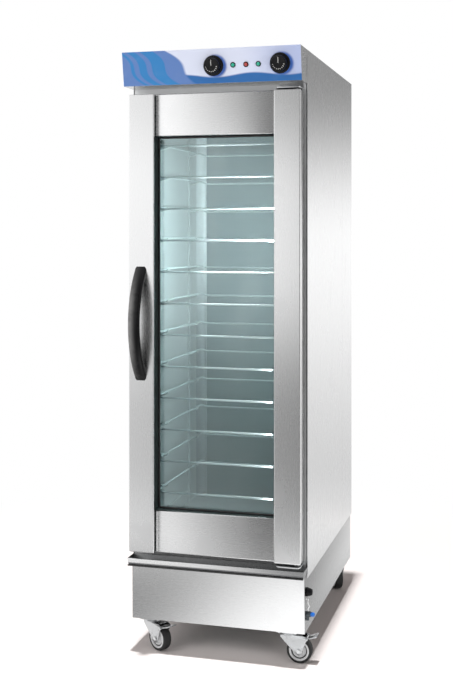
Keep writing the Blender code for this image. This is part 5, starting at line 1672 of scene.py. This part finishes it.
@dataclass
class Chamber:
    """The lined chamber: racks, twelve bent-rod shelves, and the air system behind its back."""

    shelf_count: int = 12
    shelf_half: float = 0.2038
    shelf_front: float = 0.030
    shelf_back: float = 0.500
    rod_radius: float = 0.003
    corner: float = 0.016
    corner_steps: int = 6
    drop: float = 0.0065
    lowest: float = 0.4694
    pitch: float = 0.0964
    wall: float = 0.2308
    duct_edge: float = 0.2055
    duct_face: float = 0.5594
    cover_front: float = 0.520
    cover_low: float = 0.350
    cover_high: float = 1.600
    cover_sheet: Pair = (0.00024, 0.0008)
    cover_steps: int = 10

    def build(self) -> None:
        """Dress the sheet parts and build the shelves and the curved corners."""
        LINER.dress("chamber_liner", "rack_left", "rack_right")
        DUCT.dress("duct_panel")
        DULL_STEEL.dress("fan_motor", "air_heater")
        ALUMINIUM.dress("fan_wheel")
        self.shelves()
        self.corner_covers()

    def shelves(self) -> None:
        """Bend one rod frame and copy it to each level; its side rods lie above its cross bars."""
        half, front, back = self.shelf_half, self.shelf_front, self.shelf_back
        corners = [(0, front), (half, front), (half, back), (-half, back), (-half, front), (0, front)]
        points = [(x, y, 0.0) for x, y in corners]
        shelf = Workpiece.rod(
            "shelf", points, self.rod_radius, self.corner, steps=self.corner_steps, closed=True
        )
        for vertex in shelf.thing.data.vertices:
            share = (abs(vertex.co.x) - (half - self.corner)) / self.corner
            vertex.co.z += self.drop * min(1.0, max(0.0, share))
        for number in range(self.shelf_count):
            level = at(0.0, 0.0, self.lowest + self.pitch * number)
            wire = shelf.copy(f"shelf_wire_{number + 1:02d}", level)
            wire.done(ROD, "cabinet", "shelf_rod", f"shelf_frame_{number + 1:02d}", smooth=60.0)
        shelf.drop()

    def corner_covers(self) -> None:
        """Curve the bright sheets between the duct and the side walls."""
        quarter = arc((0.0, 0.0), 1.0, 0, 90, self.cover_steps)
        wide, deep = self.wall - self.duct_edge, self.duct_face - self.cover_front
        front = [(self.duct_edge + wide * x, self.cover_front + deep * y) for x, y in quarter]
        outward, back = self.cover_sheet
        outline = front + [(x + outward, y + back) for x, y in reversed(front)]
        for side, name in ((-1, "left"), (1, "right")):
            sheet = [(side * x, y) for x, y in outline]
            height = self.cover_high - self.cover_low
            cover = Workpiece.plate(f"corner_cover_{name}", sheet, height)
            cover.placed(at(0.0, 0.0, self.cover_low))
            cover.done(COVER, "cabinet", "liner_steel", smooth=60.0)


@dataclass
class WetBase:
    """The folded base with its water tank, drip tray, drain cock, overflow and cable gland.

    The overflow's waves are a sway from its straight line, and the share of its drop where it is.
    """

    wall: float = 0.2665
    row: float = 0.0
    gland_edge: float = 0.0005
    valve_edge: float = 0.0004
    valve_height: float = 0.148
    overflow_height: float = 0.1927
    overflow_low: float = 0.1568
    overflow_radius: float = 0.002
    overflow_reach: float = 0.0063
    overflow_inside: float = 0.010
    overflow_bend: float = 0.0034
    overflow_waves: tuple[Pair, ...] = ((-0.0016, 0.34), (0.0032, 0.62), (-0.0016, 0.86))
    knob_stem: Profile = ((0.0, -0.0075), (0.0027, -0.0075), (0.0027, 0.0004))
    knob_side: Profile = ((0.0065, 0.0004), (0.0065, 0.00858), (0.00559, 0.01092))
    knob_end: Profile = ((0.00325, 0.013), (0.0, 0.013))
    knob_face: float = 0.2798
    knob_edge: float = 0.0003
    flutes: int = 6
    flats_in_flute: int = 6
    flute_low: float = 0.001
    flute_turn: float = 20.0
    flute_slope: float = 0.2
    flute_inset: float = 0.0002
    flute_depth: float = 0.0007
    # a dark rubber strip that stands in for the shadow in the gap under the tray's lip
    shade_strip_size: Triple = (0.0030, 0.0024, 0.0042)
    shade_strip_proud: Pair = (0.0008, 0.0002)
    edging_edge: float = 0.0006

    def build(self) -> None:
        """Dress the sheet parts and build the dark strip under the tray's lip, a painted shadow, and
        the fittings on the right wall.
        """
        HOUSING.dress("base_housing")
        TRAY.dress("drip_tray")
        self.edging()
        LINER.dress("water_tank")
        DULL_STEEL.dress("steam_heater")
        gland = Workpiece.eased("gland", "cable_gland", self.gland_edge)
        gland.done(GREY, "cabinet", "grey_plastic", "cable_gland")
        cock = Workpiece.eased("drain_cock", "drain_valve_body", self.valve_edge)
        cock.done(VALVE_GREY, "cabinet", "zinc_steel", "drain_valve_body")
        self.knob()
        self.overflow()

    def edging(self) -> None:
        """Put a dark rubber strip on the tray's lower lip: a painted shadow of the gap under the lip.
        """
        low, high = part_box("drip_tray")
        short, depth, height = self.shade_strip_size
        forward, down = self.shade_strip_proud
        half = (high.x - low.x - short) / 2
        outline = [(-half, 0.0), (half, 0.0), (half, depth), (-half, depth)]
        strip = Workpiece.plate("tray_edging", outline, height).bevel(self.edging_edge)
        strip.placed(at(0.0, low.y - ORIGIN.y - forward, low.z - down))
        # painted shadow under the tray's lip
        strip.done(SEAL, "cabinet", "seal_rubber")

    def knob(self) -> None:
        """Turn the drain cock's knob on its stem, and press in its flutes."""
        outline = self.knob_stem + self.knob_side + self.knob_end
        knob = Workpiece.turned("drain_grip", outline, self.flutes * self.flats_in_flute)

        def valley(middle: Vector, normal: Vector) -> bool:
            """Say whether a face is one of the two flats in each sixth of the side.

            Args:
                middle: the face's middle.
                normal: the face's normal.

            Returns:
                Whether it is.
            """
            turn = math.degrees(math.atan2(middle.y, middle.x)) % (360 / self.flutes)
            on_side = abs(normal.z) < self.flute_slope and middle.z > self.flute_low
            return on_side and turn < self.flute_turn

        with knob.editing():
            knob.pick(valley)
            bpy.ops.mesh.inset(thickness=self.flute_inset, depth=-self.flute_depth)
        knob.bevel(self.knob_edge, angle=30.0)
        knob.placed(facing((self.knob_face, self.row, self.valve_height), (1, 0, 0)))
        knob.done(BLUE, "drain_knob", "blue_plastic", "drain_knob", smooth=50.0)

    def overflow(self) -> None:
        """Bend the thin pipe from the overflow hole, down in two soft waves to the drain cock."""
        x, top = self.wall + self.overflow_reach, self.overflow_height
        span = top - self.overflow_low
        path = [(self.wall - self.overflow_inside, top), (x, top)]
        path += [(x + sway, top - span * share) for sway, share in self.overflow_waves]
        path += [(x, self.overflow_low)]
        points = [ORIGIN + Vector((x, self.row, z)) for x, z in path]
        pipe = Workpiece.rod("overflow_tube", points, self.overflow_radius, self.overflow_bend)
        pipe.done(TUBE, "cabinet", "zinc_steel", "overflow_pipe", smooth=60.0)


@dataclass
class Caster:
    """One swivel caster: its fork, bearing race, wheel, axle bolt and, in front, its brake.

    The profiles are (radius, height) pairs; the wheel's are halves, above the wheel's middle.
    """

    place: str
    x: float
    y: float
    yaw: float
    braked: bool
    trail: float = 0.033
    wheel_radius: float = 0.0375
    pressed_edge: float = 0.0004
    turned_edge: float = 0.0002
    disc_edge: float = 0.00025
    sides: int = 72
    tyre: Profile = ((0.0275, 0.0124), (0.0343, 0.0140), (0.0363, 0.0130), (0.0375, 0.0100))
    hub: Profile = ((0.0053, 0.0153), (0.0100, 0.0153), (0.0112, 0.0105))
    web: Profile = ((0.0145, 0.0096), (0.0190, 0.0096), (0.0205, 0.0108))
    groove: Profile = ((0.0209, 0.0080), (0.0239, 0.0080), (0.0243, 0.0132))
    rim: Profile = ((0.0252, 0.0142), (0.0291, 0.0142), (0.0300, 0.0132), (0.0275, 0.0120))
    band: Profile = ((0.0207, 0.0078), (0.0241, 0.0078), (0.0241, 0.0098), (0.0207, 0.0098))
    race_side: Profile = (
        (0.0222, -0.0049),
        (0.0244, -0.0049),
        (0.0252, -0.0037),
        (0.0252, -0.0005),
        (0.0243, -0.0002),
    )
    race_sides: int = 56
    race_height: float = 0.0871
    cheek_face: float = 0.0195
    axle_end: HexHead = HexHead(0.0068, 0.0032)
    plate_bolt: HexHead = HexHead(0.0045, 0.0028)
    plate_underside: float = 0.0925
    bolt_reach: float = 0.0243

    def swivel(self) -> Matrix:
        """The matrix of the caster: its swivel axis on Z, its trail along X."""
        return at(self.x, self.y, 0.0) @ turned_on("Z", math.radians(self.yaw))

    def axle(self) -> Matrix:
        """The matrix of the wheel's middle, its axle along Y."""
        return self.swivel() @ Matrix.Translation((self.trail, 0.0, self.wheel_radius))

    def build(self) -> None:
        """Build the caster's pieces at its place and yaw."""
        body = f"caster_{self.place}"
        self.pressed("fork", "caster_fork", body)
        race = Workpiece.turned(f"race_{self.place}", mirrored(self.race_side), self.race_sides)
        race.bevel(self.turned_edge)
        race.placed(self.swivel() @ Matrix.Translation((0.0, 0.0, self.race_height)))
        race.done(BRIGHT_ZINC, body, "zinc_steel", smooth=45.0)
        self.wheel(f"wheel_{self.place}")
        self.axle_ends(body)
        self.plate_bolts()
        if self.braked:
            self.pressed("pedal", "brake_pedal", f"pedal_{self.place}")

    def pressed(self, name: str, node: str, body: str) -> None:
        """Ease the edges of a pressed part of the caster.

        Args:
            name: what the piece is called, before the caster's place.
            node: the CAD node's name, before the caster's place.
            body: the body that it rides on.
        """
        node = f"{node}_{self.place}"
        piece = Workpiece.eased(f"{name}_{self.place}", node, self.pressed_edge)
        piece.done(BRIGHT_ZINC, body, "zinc_steel", node)

    def wheel(self, body: str) -> None:
        """Turn the rubber tyre and, in it, the ribbed disc with its hub.

        Args:
            body: the body that rolls.
        """
        across = self.axle() @ turned_on("X", QUARTER_TURN)
        tyre = Workpiece.turned(f"tyre_{self.place}", mirrored(self.tyre), self.sides)
        tyre.bevel(self.pressed_edge).placed(across)
        tyre.done(TYRE, body, "wheel_rubber", f"caster_wheel_{self.place}")
        side = self.hub + self.web + self.groove + self.rim
        disc = Workpiece.turned(f"wheel_disc_{self.place}", mirrored(side), self.sides)
        disc.bevel(self.disc_edge).placed(across).done(WHEEL_GREY, body, "core_plastic")
        band = Workpiece.turned("groove_band", self.band, self.sides).bevel(self.turned_edge)
        places = [across, across @ turned_on("X", math.pi)]
        band.spread(f"groove_bands_{self.place}", places).done(TYRE, body, "wheel_rubber")

    def axle_ends(self, body: str) -> None:
        """Put the axle bolt's head on one cheek and its nut on the other.

        Args:
            body: the body that they ride on.
        """
        out = Matrix.Translation((0.0, 0.0, self.cheek_face))
        places = [self.axle() @ turned_on("X", QUARTER_TURN * way) @ out for way in (1, -1)]
        ends = self.axle_end.made().spread(f"axle_ends_{self.place}", places)
        ends.done(ZINC, body, "zinc_steel")

    def plate_bolts(self) -> None:
        """Put in the four bolts that hold the caster's plate under the base."""
        reach, height = self.bolt_reach, self.plate_underside
        places = [
            facing((self.x + i * reach, self.y + j * reach, height), (0, 0, -1))
            for i in (-1, 1)
            for j in (-1, 1)
        ]
        bolts = self.plate_bolt.made().spread(f"plate_bolts_{self.place}", places)
        bolts.done(ZINC, "cabinet", "zinc_steel")


def rays(graph: Graph, *kinds: str) -> Signal:
    """Tell some kinds of rays from the rest.

    Args:
        graph: the tree that asks.
        kinds: Blender's words for them.

    Returns:
        1 for rays of these kinds, 0 for the rest.
    """
    path = graph.node("ShaderNodeLightPath")
    first, *others = (Signal(graph, path.outputs[f"Is {kind} Ray"]) for kind in kinds)
    for other in others:
        first = first.largest(other)
    return first


@dataclass(frozen=True)
class Card:
    """A flat card that only mirror rays meet; two of its edges run along X."""

    name: str
    near: Point
    far: Point

    def shade(self, graph: Graph) -> Signal:
        """The card's brightness over its face."""
        raise NotImplementedError

    def build(self) -> None:
        """Add the card, which glows by its shade."""
        choose()
        bpy.ops.mesh.primitive_plane_add(size=1.0)
        card = bpy.context.active_object
        card.name = self.name
        corners = [(x, y, z) for _, y, z in (self.near, self.far) for x in (self.near[0], self.far[0])]
        for vertex, corner in zip(card.data.vertices, corners):
            vertex.co = corner
        material = bpy.data.materials.new(self.name)
        graph = Graph(material)
        graph.shown(graph.glow(self.shade(graph)))
        card.data.materials.append(material)
        card.visible_camera = False
        card.visible_diffuse = False
        card.visible_shadow = False
        card.visible_transmission = False


@dataclass(frozen=True)
class FrontCard(Card):
    """Brighter to the left, with a bright band at chest height that fades at the right."""

    left: float = -0.83
    left_level: float = 1.30
    slope: float = 0.92
    levels: Pair = (0.24, 1.35)
    waist_low: Pair = (0.14, 0.34)
    waist_high: Pair = (1.35, 1.70)
    waist_loss: float = 0.33
    band_low: Pair = (0.60, 1.15)
    band_high: Pair = (1.40, 1.78)
    band_grows: Pair = (-0.58, -0.02)
    band_levels: Pair = (0.55, 0.31)
    band_ends: Pair = (0.025, 0.35)

    def shade(self, graph: Graph) -> Signal:
        """Add the band to a ramp that is a little weaker at the door's height.

        Args:
            graph: the tree of the card.

        Returns:
            The card's brightness.
        """
        x, _, z = graph.axes()
        least, most = self.levels
        start, growth = self.band_levels
        ramp = (self.left_level - (x - self.left) * self.slope).largest(least).smallest(most)
        waist = z.step(*self.waist_low) * (1 - z.step(*self.waist_high))
        band = z.step(*self.band_low) * (1 - z.step(*self.band_high))
        weight = x.step(*self.band_grows) * growth + start
        shown = band * weight * (1 - x.step(*self.band_ends))
        return shown + ramp * (1 - waist * self.waist_loss)


@dataclass(frozen=True)
class FootCard(Card):
    """Grey at the left and white at the right."""

    grows: Pair = (-0.445, 0.20)
    dark: float = 0.34
    growth: float = 1.25

    def shade(self, graph: Graph) -> Signal:
        """The card's brightness, by its place across."""
        return graph.axes()[0].step(*self.grows) * self.growth + self.dark


@dataclass(frozen=True)
class SideCard(Card):
    """The side's shadow on the floor, fading away from the cabinet and to the back."""

    lean: Pair = (1.2, 0.5)
    fades: Pair = (0.35, 1.15)
    dark: float = 0.46
    growth: float = 0.52

    def shade(self, graph: Graph) -> Signal:
        """The card's brightness, by its place across and in depth."""
        x, y, _ = graph.axes()
        return (x * self.lean[0] + y * self.lean[1]).step(*self.fades) * self.growth + self.dark


@dataclass(frozen=True)
class RightCard(Card):
    """Bright at the eye's height, dark above it, a little darker below."""

    below: Pair = (0.0, 1.25)
    growth: float = 0.47
    above: Pair = (1.22, 2.05)
    loss: float = 0.95
    level: float = 0.80

    def shade(self, graph: Graph) -> Signal:
        """The card's brightness, by its height."""
        z = graph.axes()[2]
        return z.step(*self.below) * self.growth - z.step(*self.above) * self.loss + self.level


@dataclass(frozen=True)
class SoftLamp:
    """A lamp that only lights: neither the camera nor a mirror sees it."""

    name: str
    place: Point
    target: Point
    power: float
    width: float = 0.0
    height: float = 0.0
    spread: float = 0.0

    def build(self) -> None:
        """Add the lamp: a sun where it has a spread, and otherwise a rectangle."""
        light = bpy.data.lights.new(self.name, "SUN" if self.spread else "AREA")
        light.energy = self.power
        if self.spread:
            light.angle = math.radians(self.spread)
        else:
            light.shape = "RECTANGLE"
            light.size = self.width
            light.size_y = self.height
        lamp = bpy.data.objects.new(self.name, light)
        lamp.location = self.place
        aim = Vector(self.target) - Vector(self.place)
        lamp.rotation_euler = aim.to_track_quat("-Z", "Y").to_euler()
        lamp.visible_camera = False
        lamp.visible_glossy = False
        bpy.context.scene.collection.objects.link(lamp)


@dataclass(frozen=True)
class Studio:
    """The camera, the pale floor, the lamps, and cards that only shine in the metal."""

    image_height: int = 686
    focal_pixels: float = 1120.0
    horizon: float = 232.9
    eye: Point = (0.913, -3.55285, 1.264)
    yaw: float = math.radians(15.65)
    sensor: float = 36.0
    view_end: float = 60.0
    lamplight: Colour = (0.185, 0.165, 0.158)
    white: Colour = (1.0, 1.0, 1.0)
    floor_radius: float = 9.0
    floor_sides: int = 96
    floor_pale: Colour = (0.93, 0.925, 0.92)
    floor_paler: Colour = (0.95, 0.945, 0.94)
    floor_seen: Colour = (0.90, 0.845, 0.83)
    floor_mirrored: Colour = (0.86, 0.86, 0.86)
    floor_wear: float = 0.8
    floor_fade: Pair = (1.0, 1.9)
    lamps: tuple[SoftLamp, ...] = (
        SoftLamp("key", (-2.2, -3.0, 2.6), (0.0, 0.0, 0.9), 54.0, 2.4, 2.4),
        SoftLamp("fill", (2.6, -2.4, 1.8), (0.0, 0.0, 0.9), 19.0, 2.0, 2.0),
        SoftLamp("chamber", (0.15, -0.29, 1.27), (-0.24, -0.23, 1.27), 9.4, 0.08, 0.16),
        SoftLamp("chamber_low", (0.15, -0.29, 0.68), (-0.24, -0.10, 0.68), 2.2, 0.06, 0.50),
        SoftLamp("overhead", (0.0, 0.0, 0.0), (0.004, 0.07, -1.0), 3.05, spread=1.9),
    )
    cards: tuple[Card, ...] = (
        FrontCard("front_card", (-2.4, -1.25, 0.03), (1.6, -1.25, 3.0)),
        FootCard("foot_card", (-2.4, -1.25, 0.02), (1.6, -0.46, 0.001)),
        SideCard("side_card", (0.262, -0.34, 0.001), (0.80, 1.20, 0.001)),
        RightCard("right_card", (0.3, 2.0, 0.0), (2.6, 2.0, 3.2)),
    )

    def build(self) -> None:
        """Build it all and set the view transform."""
        bpy.context.scene.view_settings.view_transform = "Standard"
        self.camera()
        self.world()
        self.floor()
        for fitting in (*self.lamps, *self.cards):
            fitting.build()

    def camera(self) -> None:
        """Set the camera at the photograph's viewing angle, level, its frame shifted down."""
        height = self.image_height
        lens = bpy.data.cameras.new("camera")
        lens.sensor_fit = "VERTICAL"
        lens.sensor_height = self.sensor
        lens.lens = self.focal_pixels / height * self.sensor
        lens.shift_y = (self.horizon - height / 2) / height
        lens.clip_end = self.view_end
        camera = bpy.data.objects.new("camera", lens)
        camera.location = self.eye
        camera.rotation_euler = (QUARTER_TURN, 0.0, self.yaw)
        bpy.context.scene.collection.objects.link(camera)
        bpy.context.scene.camera = camera

    def world(self) -> None:
        """Make a plain white world, dimmer as a lamp than as a background."""
        world = bpy.data.worlds.new("studio")
        graph = Graph(world, "World")
        shown = rays(graph, "Camera", "Glossy", "Transmission")
        colour = graph.blend(shown, self.lamplight, self.white)
        graph.shown(graph.node("ShaderNodeBackground", None, {"Color": colour, "Strength": 1.0}))
        bpy.context.scene.world = world

    def floor(self) -> None:
        """Lay a round pale floor that keeps the cabinet's shadow and shows no edge."""
        choose()
        bpy.ops.mesh.primitive_circle_add(
            vertices=self.floor_sides, radius=self.floor_radius, fill_type="NGON"
        )
        floor = bpy.context.active_object
        floor.name = "floor"
        material = bpy.data.materials.new("floor")
        graph = Graph(material)
        pale = graph.blend(graph.noise(self.floor_wear, 2.0), self.floor_pale, self.floor_paler)
        warm = graph.blend(rays(graph, "Camera"), pale, self.floor_seen)
        matte = graph.node("ShaderNodeBsdfDiffuse", None, {"Color": warm})
        level = graph.blend(rays(graph, "Glossy"), self.white, self.floor_mirrored)
        x, y, _ = graph.axes()
        away = (x * x + y * y) ** 0.5
        share = rays(graph, "Camera", "Glossy", "Transmission") * away.step(*self.floor_fade)
        graph.shown_mix(share, matte, graph.glow(level))
        floor.data.materials.append(material)


SATIN = BrushedSteel("satin_steel")
SATIN_ACROSS = BrushedSteel("satin_steel_across", brushed=Brushed.ACROSS)
LINER = LinerSteel("liner_steel")
LINER_ACROSS = BrushedSteel(
    "liner_steel_across", (0.36, 0.40, 0.41), 0.36, brushed=Brushed.ACROSS, metal=0.55
)
# painted shade: the duct's darker colour stands in for the dim light at the back of the chamber
DUCT = LinerSteel("duct_steel", (0.153, 0.209, 0.218))
# painted shade: the corner covers darken towards their feet
COVER = FootShadedSteel("cover_steel", (0.50, 0.55, 0.565), 0.30, metal=0.35)
TRAY = TraySteel(
    "tray_steel",
    (0.97, 0.972, 0.975),
    brushed=Brushed.ACROSS,
    crown=0.20,
    middle=ORIGIN.x,
    lean=0.30,
)
HOUSING = HousingSteel("housing_steel", brushed=Brushed.ACROSS)
WOOL = MineralWool()
ZINC = PlatedSteel("zinc_plate", (0.62, 0.63, 0.64), 0.30)
BRIGHT_ZINC = PlatedSteel("bright_zinc", (0.46, 0.47, 0.48), 0.18)
TUBE = PlatedSteel("overflow_steel", (0.93, 0.94, 0.95), 0.25, metal=0.35, stain=0.05)
VALVE_GREY = PlatedSteel("cast_valve", (0.085, 0.10, 0.11), 0.40, metal=0.7)
ROD = ShelfWire("shelf_wire", (0.80, 0.815, 0.82), 0.30, metal=0.25, relief=0.000004, stain=0.04)
DULL_STEEL = PlatedSteel("heater_steel", (0.24, 0.24, 0.25), 0.42)
ALUMINIUM = PlatedSteel("fan_aluminium", (0.66, 0.67, 0.68), 0.40)
BLACK = Moulded("black_plastic", (0.004, 0.004, 0.0045), 0.24, shine=0.18)
FRAME_BLACK = Moulded("frame_plastic", (0.028, 0.038, 0.037), 0.42, shine=0.28)
GREY = Moulded("gland_plastic", (0.004, 0.004, 0.005), 0.40)
WHEEL_GREY = Moulded("wheel_disc", (0.62, 0.63, 0.64), 0.34, shine=0.5)
BLUE = Moulded("drain_knob_blue", (0.008, 0.14, 0.56), 0.30, coat=0.2, shine=0.4)
WHITE_PRINT = Moulded("white_print", (0.62, 0.62, 0.61), 0.45)
SEAL = Rubber("seal_rubber")
TYRE = Rubber("tyre_rubber", (0.007, 0.007, 0.0075), (0.026, 0.025, 0.024))
PANE = Pane()
GREEN = Lens("green_lens", (0.02, 0.42, 0.27), (0.00, 0.12, 0.08))
RED = Lens("red_lens", (0.42, 0.045, 0.035), (0.12, 0.008, 0.008))
CASTERS = (
    Caster("front_right", 0.212, 0.014, 0.0, True),
    Caster("front_left", -0.212, 0.014, -31.0, True),
    Caster("rear_right", 0.212, 0.7555, -62.0, False),
    Caster("rear_left", -0.212, 0.7555, -20.0, False),
)


def main() -> None:
    """Build the studio and the sub-assemblies in order."""
    for part in (Studio(), CabinetBody(), ControlBox(), Door(), Chamber(), WetBase(), *CASTERS):
        LOG.info("building %s", type(part).__name__)
        part.build()


if __name__ == "__main__":
    logging.basicConfig(level=logging.INFO)
    main()
